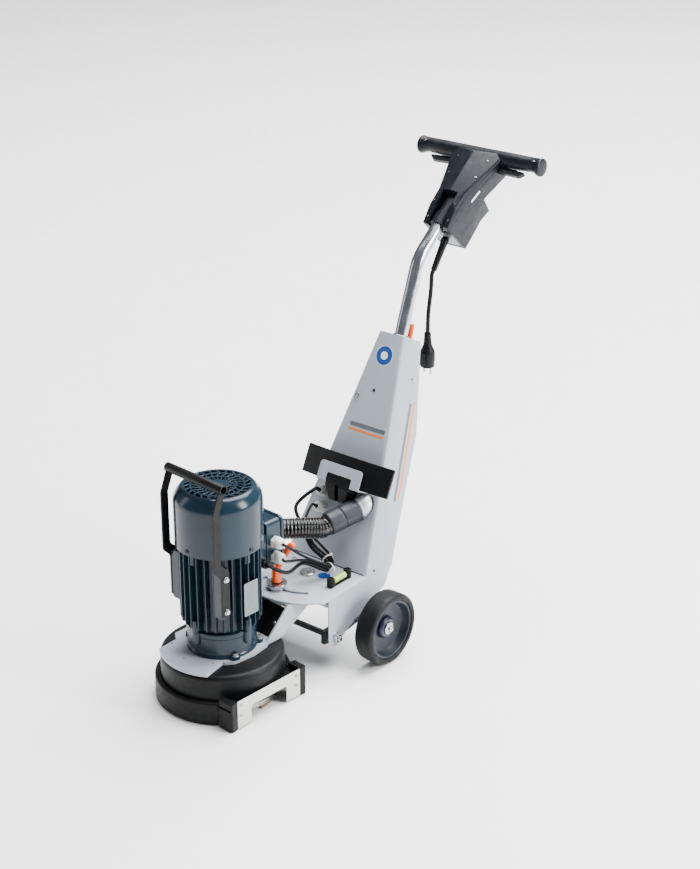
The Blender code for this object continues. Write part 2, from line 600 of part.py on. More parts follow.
for side, label, point in ((-1, "left", left_wheel_point), (1, "right", right_wheel_point)):
    frame = Matrix.Translation(point) @ Matrix.Rotation(side * math.pi / 2, 4, "Y")
    half = WHEEL_WIDTH / 2
    tyre = lathe(label + "_tyre", [(rim_radius + FIT_GAP, -half + 0.004), (rim_radius + 0.004, -half),
                                   (WHEEL_RADIUS - 0.006, -half), (WHEEL_RADIUS, -half + 0.007),
                                   (WHEEL_RADIUS, half - 0.007),
                                   (WHEEL_RADIUS - 0.006, half), (rim_radius + 0.004, half),
                                   (rim_radius + FIT_GAP, half - 0.004)], 26, frame, closed=True)
    finish(tyre, "black_rubber", True, point)
    bore = AXLE_RADIUS + FIT_GAP
    rim = lathe(label + "_rim", [(bore, -half + 0.003), (0.022, -half + 0.003), (0.022, -0.006),
                                 (0.060, -0.006),
                                 (0.064, -half + 0.004), (rim_radius, -half + 0.004),
                                 (rim_radius, half - 0.004),
                                 (0.064, half - 0.004), (0.058, 0.002), (0.024, 0.002),
                                 (0.022, half - 0.0155),
                                 (bore, half - 0.0155)], 26, frame, closed=True)
    finish(rim, "rim_plastic", True, point)

# --------------------------------------------------------------- swivel head
# welded arm: bottom plate, two upturned flanges and the top plate under the deck
plate_outline = arc(0, 0, 0.1440, math.radians(-124.5), math.radians(-57.0), 12)
plate_outline += [(0.0680, -0.0600), (0.0830, -0.0400), (0.0885, 0.0150), (0.0810, 0.0640), (0.0750, 0.0700),
                  (0.0750, 0.1080), (0.0600, 0.1180), (-0.0600, 0.1180), (-0.0750, 0.1080), (-0.0750, 0.0700),
                  (-0.0900, 0.0500), (-0.1080, 0.0100), (-0.1080, -0.0480), (-0.0880, -0.0620)]
arm_plate = prism("arm_plate", plate_outline, PLATE_BOTTOM, PLATE_TOP, MOTOR)
flange_view = [(-0.2080, PLATE_BOTTOM + 0.001), (-0.2080, PLATE_TOP + 0.001),
               (-0.1420, DECK_TOP - DECK_THICK - 0.0008),
               (-0.0350, DECK_TOP - DECK_THICK - 0.0008), (-0.0550, 0.1720), (-0.0800, 0.1630),
               (-0.1600, PLATE_BOTTOM + 0.001)]
top_plate = [(-0.0750, -0.1380), (0.0750, -0.1380), (0.0750, -0.0500), (0.0300, 0.0200), (0.0150, 0.0300),
             (-0.0150, 0.0300), (-0.0300, 0.0200), (-0.0750, -0.0500)]
join(arm_plate, [
    prism("flange_right", flange_view, 0.0705, 0.0755, HEAD @ ALONG_X),
    prism("flange_left", flange_view, -0.0755, -0.0705, HEAD @ ALONG_X),
    prism("top_plate", top_plate, 0.1810, DECK_TOP - DECK_THICK - 0.0008, HEAD)])
PORT_SPOT = Vector((-0.0460, 0.1085, 0.0))
bolt_angles = (199.0, -23.0, 46.0, 135.0)
cut(arm_plate, [
    rod("pin_bore", 0.0104, 0.15, 0.22, 20, HEAD),
    rod("stud_bore", 0.0047, 0.15, 0.22, 12, HEAD @ Matrix.Translation((0, -SLOT_RADIUS, 0))),
    rod("shaft_bore", 0.0300, 0.09, 0.14, 24, MOTOR),
    rod("port_bore", 0.0250, 0.09, 0.14, 20, MOTOR @ Matrix.Translation(PORT_SPOT))]
    + [rod("small_hole", 0.0026, 0.09, 0.14, 8, MOTOR @ Matrix.Translation((x, y, 0)))
       for x, y in ((-0.0780, -0.0835), (-0.0100, -0.1090), (0.0534, -0.0792))])
finish(arm_plate, "grey_paint", False, swivel_point)

# black cover closing the throat of the arm between the flanges
cover_view = [(-0.1920, PLATE_TOP + FIT_GAP), (-0.1400, 0.1770), (-0.1340, 0.1770),
              (-0.1860, PLATE_TOP + FIT_GAP)]
arm_cover = prism("arm_cover", cover_view, -0.0190, 0.0700, HEAD @ ALONG_X)
finish(arm_cover, "black_paint", False, swivel_point)

# dust hood with the suction spigot moulded on
hood_wall = 0.003
dust_hood = lathe("dust_hood", [(0.0320, HOOD_TOP - hood_wall), (HOOD_RADIUS - 0.006, HOOD_TOP - hood_wall),
                                (HOOD_RADIUS - hood_wall, HOOD_TOP - 0.008), (HOOD_RADIUS - hood_wall, 0.034),
                                (HOOD_RADIUS, 0.034), (HOOD_RADIUS, HOOD_TOP - 0.006),
                                (HOOD_RADIUS - 0.005, HOOD_TOP), (0.0320, HOOD_TOP)], 40, MOTOR, closed=True)
join(dust_hood, [rod("spigot", 0.0195, HOOD_TOP - 0.002, 0.1500, 20, MOTOR @ Matrix.Translation(PORT_SPOT))])
cut(dust_hood, [rod("spigot_bore", 0.0170, 0.09, 0.20, 20, MOTOR @ Matrix.Translation(PORT_SPOT))])
finish(dust_hood, "black_paint", True, swivel_point)

# lower end shield of the motor
end_bell = lathe("end_bell", [(0.0280, PLATE_TOP + FIT_GAP), (BELL_RADIUS - 0.003, PLATE_TOP + FIT_GAP),
                              (BELL_RADIUS, PLATE_TOP + 0.004), (BELL_RADIUS, 0.178),
                              (0.0770, MOTOR_LOW - FIT_GAP),
                              (0.0150, MOTOR_LOW - FIT_GAP), (0.0150, 0.170), (0.0280, 0.165)], 28, MOTOR,
                              closed=True)
join(end_bell, [box("ear", (0.066, -0.010, 0.160), (0.088, 0.010, 0.1855),
                    MOTOR @ Matrix.Rotation(math.radians(a), 4, "Z"))
                for a in (2, 92, 182, 272)]
     + [rod("foot_bolt", 0.0065, PLATE_TOP + FIT_GAP, PLATE_TOP + 0.009, 8,
            MOTOR @ Matrix.Rotation(math.radians(a), 4, "Z") @ Matrix.Translation((0.083, 0, 0)))
        for a in bolt_angles])
finish(end_bell, "motor_paint", True, swivel_point)

# finned motor housing
fin_count = 28
gear_outline = []
for k in range(fin_count):
    centre = 2 * math.pi * k / fin_count
    half_fin = 0.22 * 2 * math.pi / fin_count
    for angle, radius in ((centre - half_fin * 1.3, MOTOR_CORE_RADIUS), (centre - half_fin, MOTOR_FIN_RADIUS),
                          (centre + half_fin, MOTOR_FIN_RADIUS),
                          (centre + half_fin * 1.3, MOTOR_CORE_RADIUS)):
        gear_outline.append((radius * math.cos(angle), radius * math.sin(angle)))
motor_housing = prism("motor_housing", gear_outline, MOTOR_LOW, COVER_BOTTOM + 0.006, MOTOR)
handle_pad_y = -0.0600
join(motor_housing, [
    box("pad_right", (0.050, handle_pad_y - 0.012, 0.2400), (0.0795, handle_pad_y + 0.012, 0.3600), MOTOR),
    box("pad_left", (-0.0795, handle_pad_y - 0.012, 0.2400), (-0.050, handle_pad_y + 0.012, 0.3600), MOTOR),
    box("box_pad", (-0.0455, 0.060, 0.2950), (0.0455, 0.0996, 0.3750), MOTOR)])
cut(motor_housing, [rod("bore", 0.0620, MOTOR_LOW - 0.01, 0.42, 24, MOTOR)])

# fan cover with its round grille
fan_cover = lathe("fan_cover", [(0, COVER_TOP), (0.0780, COVER_TOP), (0.0860, COVER_TOP - 0.0050),
                                (COVER_RADIUS - 0.0035, COVER_TOP - 0.020), (COVER_RADIUS, COVER_TOP - 0.030),
                                (COVER_RADIUS, COVER_BOTTOM), (COVER_RADIUS - 0.002, COVER_BOTTOM),
                                (COVER_RADIUS - 0.002, COVER_TOP - 0.030), (0.0940, COVER_TOP - 0.020),
                                (0.0845, COVER_TOP - 0.0065), (0.0775, COVER_TOP - 0.002),
                                (0, COVER_TOP - 0.002)],
                  32, MOTOR)
holes = []
for radius, count in ((0.034, 8), (0.056, 14)):
    for k in range(count):
        angle = 2 * math.pi * k / count
        spot = (radius * math.cos(angle), radius * math.sin(angle), 0)
        turn = Matrix.Rotation(angle, 4, "Z")
        holes.append(box("slot", (-0.0070, -0.0075, COVER_TOP - 0.006), (0.0070, 0.0075, COVER_TOP + 0.006),
                         MOTOR @ Matrix.Translation(spot) @ turn))
cut(fan_cover, holes)
finish(fan_cover, "motor_paint", True, swivel_point)

# terminal box on the rear of the motor
terminal_box = box("terminal_box", (-0.0520, 0.1000, 0.2850), (0.0480, 0.1440, 0.4020), MOTOR)
cut(terminal_box, [box("hollow", (-0.0480, 0.1040, 0.2890), (0.0440, 0.1500, 0.3980), MOTOR)])
gland_spots = (("motor_gland_upper", (0.0480, 0.1243, 0.3505), 0.0150, 0.0035),
               ("motor_gland_lower", (0.0480, 0.1240, 0.3130), 0.0150, 0.0035))
for name, spot, radius, cable in gland_spots:
    cut(terminal_box, [rod("thread", radius * 0.52 + 0.0003, -0.02, 0.02, 12, place(MOTOR, spot, (1, 0, 0)))])
    finish(gland(name, place(MOTOR, spot, (1, 0, 0)), radius, cable, 0.026, 0.0030), "light_plastic", True,
           swivel_point)
power_spot = Vector((0.0455, 0.0862, 0.3090))
cut(motor_housing, [rod("thread", 0.0062, -0.02, 0.02, 12, place(MOTOR, power_spot, (1, 0, 0)))])
finish(gland("power_gland", place(MOTOR, power_spot, (1, 0, 0)), 0.0110, 0.0048, 0.014, 0.0030),
       "black_rubber", True,
       swivel_point)
finish(terminal_box, "motor_paint", False, swivel_point)
finish(motor_housing, "motor_paint", False, swivel_point)
terminal_lid = box("terminal_lid", (-0.0540, 0.1444, 0.2830), (0.0500, 0.1540, 0.4040), MOTOR)
finish(terminal_lid, "motor_paint", False, swivel_point)

rating_plate = box("rating_plate", (0.0930, -0.0160, 0.2300), (0.0940, 0.0260, 0.3120), MOTOR)
finish(rating_plate, "stainless", False, swivel_point)

# lift handle: grip tube and two bent flat legs, one weldment
lift_handle = ring("lift_handle", 0.0085, 0.0108, -0.0900, 0.0900, 16,
                   place(MOTOR, (0, -0.0640, 0.5555), (1, 0, 0)))
leg_view = [(-0.0740, 0.5520), (-0.0930, 0.5040), (-0.0930, 0.3640), (-0.0730, 0.3440), (-0.0730, 0.2450),
            (-0.0500, 0.2450),
            (-0.0500, 0.3560), (-0.0730, 0.3760), (-0.0730, 0.5040), (-0.0540, 0.5480)]
join(lift_handle, [prism("leg_right", leg_view, 0.0800, 0.0850, MOTOR @ ALONG_X),
                   prism("leg_left", leg_view, -0.0850, -0.0800, MOTOR @ ALONG_X)]
     + [rod("bolt_head", 0.0070, 0.084, 0.0900, 8, place(MOTOR, (0, -0.0600, z), (side, 0, 0)))
        for side in (-1, 1) for z in (0.3380, 0.2580)])
finish(lift_handle, "black_paint", False, swivel_point)

# clamp lever of the swivel, screwed into the arm through the curved slot
lever_frame = HEAD @ Matrix.Translation((0.0, -SLOT_RADIUS, DECK_TOP + 0.0170))
swivel_arm_turn = Matrix.Rotation(math.radians(25.0), 4, "Z")
swivel_arm = [swivel_arm_turn @ Vector(p) for p in ((0.001, 0, 0.036), (0.009, 0, 0.050), (0.021, 0, 0.073),
                                                    (0.033, 0, 0.094), (0.043, 0, 0.104))]
swivel_clamp_lever = clamp_lever("swivel_clamp_lever", lever_frame, 0.0440, swivel_arm,
                                 [0.0085, 0.0080, 0.0075, 0.0085, 0.0075], 0.0300)
finish(swivel_clamp_lever, "orange_plastic", True, clamp_point)
swivel_clamp_washer = lathe("swivel_clamp_washer", [(0.0047, DECK_TOP + FIT_GAP),
                                                    (0.0195, DECK_TOP + FIT_GAP),
                                                    (0.0195, DECK_TOP + 0.0120), (0.0235, DECK_TOP + 0.0125),
                                                    (0.0235, DECK_TOP + 0.0160), (0.0047, DECK_TOP + 0.0160)],
                            24, HEAD @ Matrix.Translation((0, -SLOT_RADIUS, 0)), closed=True)
finish(swivel_clamp_washer, "zinc", True, swivel_point)

# ------------------------------------------------------------- grinding drive
spindle = lathe("motor_shaft", [(0, 0.0520), (0.0120, 0.0520), (0.0120, 0.1000), (0.0144, 0.1100),
                                (0.0144, 0.1950),
                                (0.0600, 0.1960), (0.0600, 0.3400), (0.0120, 0.3410), (0.0120, 0.4500),
                                (0, 0.4500)],
                24, MOTOR)
finish(spindle, "steel", True, motor_point)
cooling_fan = lathe("cooling_fan", [(0.0124, 0.4000), (0.0850, 0.4000), (0.0850, 0.4040), (0.0240, 0.4060),
                                    (0.0240, 0.4400), (0.0124, 0.4400)], 20, MOTOR, closed=True)
join(cooling_fan, [box("blade", (0.0200, -0.0015, 0.4030), (0.0820, 0.0015, 0.4500),
                       MOTOR @ Matrix.Rotation(2 * math.pi * k / 8, 4, "Z")) for k in range(8)])
finish(cooling_fan, "light_plastic", False, motor_point)
grinding_disc = lathe("grinding_disc", [(0, 0.0120), (0.1000, 0.0120), (DISC_RADIUS, 0.0080),
                                        (DISC_RADIUS, 0.0230),
                                        (0.1180, 0.0260), (0.0300, 0.0260), (0.0300, 0.0510), (0, 0.0510)],
                                        30, MOTOR)
segments = []
for k in range(12):
    angle = 2 * math.pi * (k + 0.3) / 12
    segments.append(box("segment", (0.0980, -0.0200, 0.0), (0.1235, 0.0200, 0.0150),
                        MOTOR @ Matrix.Rotation(angle, 4, "Z")))
join(grinding_disc, segments)
finish(grinding_disc, "bronze", True, motor_point)

# ------------------------------------------------------------- floating skirt
block_x = 0.1060
block_y = math.sqrt(SKIRT_RADIUS ** 2 - block_x ** 2)
start = math.atan2(block_y, block_x)
wall = 0.0045
outer = arc(0, 0, SKIRT_RADIUS, start, 2 * math.pi - start, 36)
inner = arc(0, 0, SKIRT_RADIUS - wall, 2 * math.pi - start, start, 36)
dust_skirt = prism("dust_skirt", outer + inner, 0.0015, SKIRT_HEIGHT, MOTOR)
flange_outline = outer + [(EDGE_PLATE_X - 0.003, -block_y + 0.004), (EDGE_PLATE_X - 0.003, block_y - 0.004)]
top_flange = prism("top_flange", flange_outline, SKIRT_HEIGHT - 0.004, SKIRT_HEIGHT, MOTOR)
join(dust_skirt, [top_flange])
cut(dust_skirt, [rod("hood_opening", HOOD_RADIUS + 0.0012, 0.02, 0.09, 40, MOTOR)])
finish(dust_skirt, "black_rubber", True, motor_point)
for side, name in ((-1, "skirt_corner_front"), (1, "skirt_corner_rear")):
    inner_y = side * 0.0990
    outer_y = side * 0.1180
    outline = [(0.1100, inner_y), (EDGE_PLATE_X - 0.0004, inner_y),
               (EDGE_PLATE_X + 0.0010, outer_y - side * 0.004),
               (EDGE_PLATE_X - 0.004, outer_y), (0.1120, outer_y)]
    block = prism(name, outline, 0.0010, SKIRT_HEIGHT + 0.0150, MOTOR)
    ledge = box("ledge", (0.1280, min(side * 0.0640, inner_y + side * 0.002), 0.0020),
                (EDGE_PLATE_X - 0.0034, max(side * 0.0640, inner_y + side * 0.002), 0.0500), MOTOR)
    join(block, [ledge])
    cut(block, [rod("skirt_space", SKIRT_RADIUS + 0.0012, -0.01, SKIRT_HEIGHT + FIT_GAP, 48, MOTOR),
                box("flange_space", (0.10, -0.14, SKIRT_HEIGHT - 0.0044), (EDGE_PLATE_X - 0.0026, 0.14,
                                                                          SKIRT_HEIGHT + FIT_GAP), MOTOR)])
    finish(block, "black_rubber", False, motor_point)
edge_outline = [(-EDGE_HALF_LENGTH, 0.0030), (-0.0550, 0.0030), (-0.0550, 0.0450), (0.0550, 0.0450),
                (0.0550, 0.0030),
                (EDGE_HALF_LENGTH, 0.0030), (EDGE_HALF_LENGTH, EDGE_TOP), (-EDGE_HALF_LENGTH, EDGE_TOP)]
edge_plate = prism("edge_plate", edge_outline, EDGE_PLATE_X - 0.0020, EDGE_PLATE_X, MOTOR @ ALONG_X)
finish(edge_plate, "stainless", False, motor_point)

# ---------------------------------------------------------------- hose, cables
port_world = MAIN.inverted() @ MOTOR @ (PORT_SPOT + Vector((0, 0, 0.1500)))
cuff_start = suction_centre + suction_axis * 0.0120
cuff_end = suction_centre + suction_axis * 0.0950
hose_cuff = pipe("hose_cuff", [cuff_start, suction_centre + suction_axis * 0.050, cuff_end],
                 [0.0282, 0.0282, 0.0280], 0.0262, 20, MAIN)
finish(hose_cuff, "slate_rubber", True)
hose_knots = [cuff_end + suction_axis * 0.0006, cuff_end + suction_axis * 0.020,
              (-0.0220, -0.0220, 0.3120), (-0.0620, -0.0560, 0.3060), (-0.0950, -0.1000, 0.2800),
              port_world + Vector((-0.0240, 0.0040, 0.0880)), port_world + Vector((-0.0020, -0.0010, 0.0350)),
              port_world + Vector((0, 0, 0.0010))]
suction_hose = pipe("suction_hose", curve_points(hose_knots, 3), 0.0228, 0.0200, 12, MAIN)
finish(suction_hose, "black_rubber", True)


def head_spot(point):
    """A point of the head expressed in the chassis frame."""
    return MAIN.inverted() @ MOTOR @ Vector(point)


BUNDLE = [Vector((0.0310, -0.0500, 0.2500)), Vector((0.0500, 0.0100, 0.2130)),
          Vector((0.0200, 0.0440, 0.2140))]
RISE = [Vector((-0.0180, 0.0340, 0.2450)), Vector((-0.0480, 0.0400, 0.2860))]
STACK = Vector((0.53, 0.32, 0.79)).normalized()
cable_runs = (
    ("motor_cable", power_spot, 0.014, 0.0045, UPPER_GLAND, 0.0,
     [Vector((0.0740, -0.1550, 0.2830))], RISE + [Vector((-0.0780, 0.0520, 0.3250))]),
    ("sensor_cable_upper", Vector(gland_spots[0][1]), 0.026, 0.0032, HIDDEN_GLAND, 0.0170,
     [], [Vector((-0.0150, 0.0580, 0.2460))]),
    ("sensor_cable_lower", Vector(gland_spots[1][1]), 0.026, 0.0032, LOWER_GLAND, 0.0092,
     [], [point + STACK * 0.0092 for point in RISE]),
)
for name, start_spot, nose, radius, end_spot, lift, first, last in cable_runs:
    knots = [head_spot(start_spot + Vector((nose - 0.006, 0, 0))), head_spot(start_spot + Vector((nose, 0,
                                                                                                  0))),
             head_spot(start_spot + Vector((nose + 0.012, 0, 0)))]
    knots += first + [point + STACK * lift for point in BUNDLE] + last
    knots += [end_spot + front_normal * 0.044, end_spot + front_normal * 0.026,
              end_spot + front_normal * 0.018]
    cable = pipe(name, curve_points(knots, 3), radius, 0, 6, MAIN)
    finish(cable, "black_rubber", True)

# ---------------------------------------------------------------- handle tube
TUBE_AXIS = Vector((0.0, math.cos(TUBE_ANGLE), math.sin(TUBE_ANGLE)))
GRIP_AXIS = Vector((0.0, math.cos(GRIP_ANGLE), math.sin(GRIP_ANGLE)))
bend = Vector((0.0, TUBE_BEND[0], TUBE_BEND[1]))
bend_setback = 0.030
tube_path = [bend - TUBE_AXIS * 0.420, bend - TUBE_AXIS * 0.200]
for k in range(7):
    t = k / 6
    first = bend - TUBE_AXIS * bend_setback
    last = bend + GRIP_AXIS * bend_setback
    tube_path.append((1 - t) ** 2 * first + 2 * t * (1 - t) * bend + t * t * last)
tube_path.append(bend + GRIP_AXIS * 0.260)
handle_tube = pipe("handle_tube", tube_path, TUBE_RADIUS, TUBE_RADIUS - 0.002, 16, MAIN)
finish(handle_tube, "zinc", True, handle_point)


def grip_solid(name, shrink):
    """Handle body: side view and plan view crossed, plus the cross bar."""
    s = shrink
    side = [(0.0930 + s, 0.0120 - s), (0.1850, 0.0360 - s), (0.1850, 0.0400), (BAR_ALONG - 0.019, 0.0400),
            (BAR_ALONG + 0.011, 0.0100 - s), (BAR_ALONG + 0.011, -0.0400 + s),
            (0.2240, -0.0400 + s), (0.2220 - s, -0.0820 + s), (0.1080 + s, -0.0930 + s)]
    # ALONG_X with the grip frame: local y is the handle axis
    body = prism(name, side, -0.09, 0.09, GRIP @ ALONG_X)
    plan = [(-0.0360 + s, 0.04), (0.0360 - s, 0.04), (0.0400 - s, 0.1900), (0.0700 - s, 0.3000),
            (0.0700 - s, 0.34),
            (-0.0700 + s, 0.34), (-0.0700 + s, 0.3000), (-0.0400 + s, 0.1900)]
    keep_common(body, [prism("plan", plan, -0.12, 0.06, GRIP)])
    roof = [(-0.09, -0.12), (0.09, -0.12), (0.09, 0.0100 - s), (0.0, 0.0345 - s), (-0.09, 0.0100 - s)]
    keep_common(body, [prism("roof", roof, -0.36, 0.0, GRIP @ ALONG_Y)])
    grip_profile = [(0, -BAR_HALF_LENGTH + s), (0.0205 - s, -BAR_HALF_LENGTH + s),
                    (0.0220 - s, -BAR_HALF_LENGTH + 0.002 + s),
                    (0.0220 - s, -0.1700), (0.0180 - s, -0.1560), (0.0200 - s, -0.1050),
                    (0.0190 - s, -0.0600),
                    (0.0190 - s, 0.0600), (0.0200 - s, 0.1050), (0.0180 - s, 0.1560), (0.0220 - s, 0.1700),
                    (0.0220 - s, BAR_HALF_LENGTH - 0.002 - s), (0.0205 - s, BAR_HALF_LENGTH - s),
                    (0, BAR_HALF_LENGTH - s)]
    bar = lathe("bar", grip_profile, 20, place(GRIP, (0, BAR_ALONG, 0), (1, 0, 0)))
    return join(body, [bar])


def grip_half(name, upper):
    """One half of the clam-shell handle."""
    shell = grip_solid(name, 0.0)
    cut(shell, [grip_solid("hollow", 0.0028)])
    if upper:
        half = box("half", (-0.25, 0.0, 0.0002), (0.25, 0.40, 0.10), GRIP)
    else:
        half = box("half", (-0.25, 0.0, -0.15), (0.25, 0.40, -0.0002), GRIP)
    keep_common(shell, [half])
    cut(shell, [box("tube_recess", (-0.0215, 0.02, -0.0215), (0.0215, 0.1850, 0.06), GRIP)])
    cut(shell, [rod("tube_bore", TUBE_RADIUS + FIT_GAP, -0.02, 0.262, 24, place(GRIP, (0, 0, 0), (0, 1, 0)))])
    return shell


grip_shell_front = grip_half("grip_shell_front", True)
grip_shell_rear = grip_half("grip_shell_rear", False)
trigger_low = BAR_ALONG - 0.0330
for side in (-1, 1):
    lo = min(side * 0.0640, side * 0.1400)
    hi = max(side * 0.0640, side * 0.1400)
    cut(grip_shell_rear, [box("trigger_slot", (lo, trigger_low - 0.001, -0.0155),
                              (hi, BAR_ALONG - 0.0080, -0.0010), GRIP)])
cut(grip_shell_rear, [box("plate_window", (-0.0300, 0.0800, -0.0800), (0.0300, 0.1130, -0.0260), GRIP)])
finish(grip_shell_front, "handle_plastic", False, handle_point)
finish(grip_shell_rear, "handle_plastic", False, handle_point)

tube_collar = lathe("tube_collar", [(TUBE_RADIUS + FIT_GAP, 0.0990), (0.0205, 0.0990), (0.0205, 0.1330),
                                    (0.0180, 0.1350),
                                    (0.0180, 0.1840), (TUBE_RADIUS + FIT_GAP, 0.1840)], 20,
                    place(GRIP, (0, 0, 0), (0, 1, 0)), closed=True)
finish(tube_collar, "handle_plastic", True, handle_point)

# grey plate closing the lower end of the switch housing
plate_view = [(0.0986, -0.0270), (0.1060, -0.0790), (0.1088, -0.0786), (0.1014, -0.0266)]
switch_plate = prism("switch_plate", plate_view, -0.0290, 0.0290, GRIP @ ALONG_X)
relief_start = (0.0, 0.1020, -0.0500)
relief_frame = place(GRIP, relief_start, (0.0, -0.957, -0.290))
cut(switch_plate, [rod("relief_hole", 0.0080, -0.05, 0.05, 14, relief_frame)])
finish(switch_plate, "steel", False, handle_point)

for side, name in ((-1, "trigger_left"), (1, "trigger_right")):
    outline = [(side * 0.0660, trigger_low), (side * 0.1260, trigger_low - 0.0020),
               (side * 0.1370, trigger_low + 0.0080),
               (side * 0.1370, trigger_low + 0.0120), (side * 0.0660, trigger_low + 0.0170)]
    trigger = prism(name, outline, -0.0145, -0.0020, GRIP)
    finish(trigger, "black_rubber", False, GRIP @ Vector((side * 0.0680, trigger_low + 0.0140, -0.0080)))

# strain relief, power cord and plug
relief = lathe("strain_relief", [(CORD_RADIUS + 0.0005, -0.010), (0.0076, -0.010), (0.0076, 0.002),
                                 (0.0100, 0.004), (0.0098, 0.014), (0.0086, 0.020), (0.0070, 0.084),
                                 (CORD_RADIUS + 0.0005, 0.084)],
               14, relief_frame, closed=True)
finish(relief, "black_rubber", True, handle_point)
to_main = MAIN.inverted() @ relief_frame
plug_top = Vector((0.0, 0.4600, 0.6540))
cord_knots = [to_main @ Vector((0, 0, along)) for along in (0.0, 0.030, 0.060, 0.086, 0.096)]
cord_knots += [(0.0, 0.4700, 0.7700), (0.0, 0.4615, 0.7150), plug_top + Vector((0, 0, 0.012)), plug_top,
               plug_top + Vector((0, 0, -0.011))]
power_cord = pipe("power_cord", curve_points(cord_knots, 3), CORD_RADIUS, 0, 8, MAIN)
finish(power_cord, "black_rubber", True, handle_point)
plug_frame = place(MAIN, plug_top, (0.0, 0.02, -1.0))
plug = lathe("plug", [(CORD_RADIUS + 0.0006, -0.0100), (0.0085, -0.0100), (0.0100, 0.0200), (0.0185, 0.0380),
                      (0.0190, 0.0600), (0.0180, 0.0780), (0, 0.0780), (0, 0.0140),
                      (CORD_RADIUS + 0.0006, 0.0140)],
             18, plug_frame, closed=True)
join(plug, [rod("pin", 0.0024, 0.070, 0.0970, 8, plug_frame @ Matrix.Translation((x, 0,
                                                                                  0))) for x in (-0.0095,
                                                                                                 0.0095)]
     + [box("nose", (-0.006, 0.010, 0.045), (0.006, 0.0235, 0.070), plug_frame)])
finish(plug, "black_rubber", True, handle_point)
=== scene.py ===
"""Looks of a walk-behind concrete floor grinder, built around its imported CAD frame."""
import json
import math

import bmesh
import bpy
from mathutils import Matrix, Vector

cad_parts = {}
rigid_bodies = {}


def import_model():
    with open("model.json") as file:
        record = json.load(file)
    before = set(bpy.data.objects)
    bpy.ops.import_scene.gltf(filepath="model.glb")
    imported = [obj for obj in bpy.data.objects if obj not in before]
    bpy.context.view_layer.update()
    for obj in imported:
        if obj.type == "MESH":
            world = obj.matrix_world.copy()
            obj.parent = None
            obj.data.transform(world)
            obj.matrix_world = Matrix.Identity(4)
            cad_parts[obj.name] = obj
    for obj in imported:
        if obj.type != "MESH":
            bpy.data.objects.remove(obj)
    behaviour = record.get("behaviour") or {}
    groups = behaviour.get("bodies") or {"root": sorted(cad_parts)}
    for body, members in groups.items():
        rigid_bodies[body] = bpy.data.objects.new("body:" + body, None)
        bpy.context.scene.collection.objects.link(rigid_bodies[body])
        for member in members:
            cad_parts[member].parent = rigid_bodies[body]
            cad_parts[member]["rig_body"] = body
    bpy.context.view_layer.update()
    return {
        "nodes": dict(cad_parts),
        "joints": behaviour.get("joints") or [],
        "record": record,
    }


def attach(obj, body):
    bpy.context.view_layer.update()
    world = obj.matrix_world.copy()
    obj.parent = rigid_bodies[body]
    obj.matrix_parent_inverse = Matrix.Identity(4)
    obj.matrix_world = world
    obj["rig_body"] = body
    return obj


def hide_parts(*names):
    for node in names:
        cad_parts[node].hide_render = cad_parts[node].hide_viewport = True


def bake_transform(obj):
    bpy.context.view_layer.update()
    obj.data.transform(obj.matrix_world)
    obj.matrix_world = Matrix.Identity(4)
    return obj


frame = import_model()
NODES = frame["nodes"]
JOINTS = {joint["name"]: joint for joint in frame["joints"]}

# ---------------------------------------------------------------- key frames
swivel_spot = Vector(JOINTS["head_swivel"]["pos_m"])
spindle_spot = Vector(JOINTS["spindle_turn"]["pos_m"])
frame_spot = Vector(JOINTS["wheel_frame_tilt"]["pos_m"])
MAIN = Matrix.Translation((swivel_spot.x, swivel_spot.y, 0.0))
reach = spindle_spot - swivel_spot
HEAD = MAIN @ Matrix.Rotation(math.atan2(reach.x, -reach.y), 4, "Z")
ARM_LENGTH = math.hypot(reach.x, reach.y)
MOTOR = HEAD @ Matrix.Translation((0.0, -ARM_LENGTH, 0.0))
slide_axis = Vector(JOINTS["handle_height"]["axis"])
trigger_axis = Vector(JOINTS["right_trigger_pull"]["axis"])
TUBE_BEND = Vector((0.0, 0.4160, 0.8636))          # bend of the handle tube, from the swivel axis
TUBE = MAIN @ Matrix.Translation(TUBE_BEND) @ Matrix.Rotation(math.atan2(slide_axis.z, slide_axis.y), 4, "X")
GRIP = MAIN @ Matrix.Translation(TUBE_BEND) @ Matrix.Rotation(math.atan2(-trigger_axis.y, trigger_axis.z),
                                                              4, "X")
ALONG_X = Matrix(((0, 0, 1, 0), (1, 0, 0, 0), (0, 1, 0, 0), (0, 0, 0, 1)))
ALONG_Y = Matrix(((1, 0, 0, 0), (0, 0, -1, 0), (0, 1, 0, 0), (0, 0, 0, 1)))

DECK_TOP = swivel_spot.z
COLUMN_FOOT = (0.0695, 0.1936)
COLUMN_HEAD = (0.3156, 0.7037)
PANEL_OUT = Vector((0.0, -(COLUMN_HEAD[1] - COLUMN_FOOT[1]), COLUMN_HEAD[0] - COLUMN_FOOT[0])).normalized()
SIDE_HALF_WIDTH = 0.1222
WIDTH_SLOPE = 0.16585
GAP = 0.0003


def panel_y(z):
    """Y of the column's front panel at a height, from the swivel axis."""
    share = (z - COLUMN_FOOT[1]) / (COLUMN_HEAD[1] - COLUMN_FOOT[1])
    return COLUMN_FOOT[0] + share * (COLUMN_HEAD[0] - COLUMN_FOOT[0])


def panel_point(x, z):
    return Vector((x, panel_y(z), z))


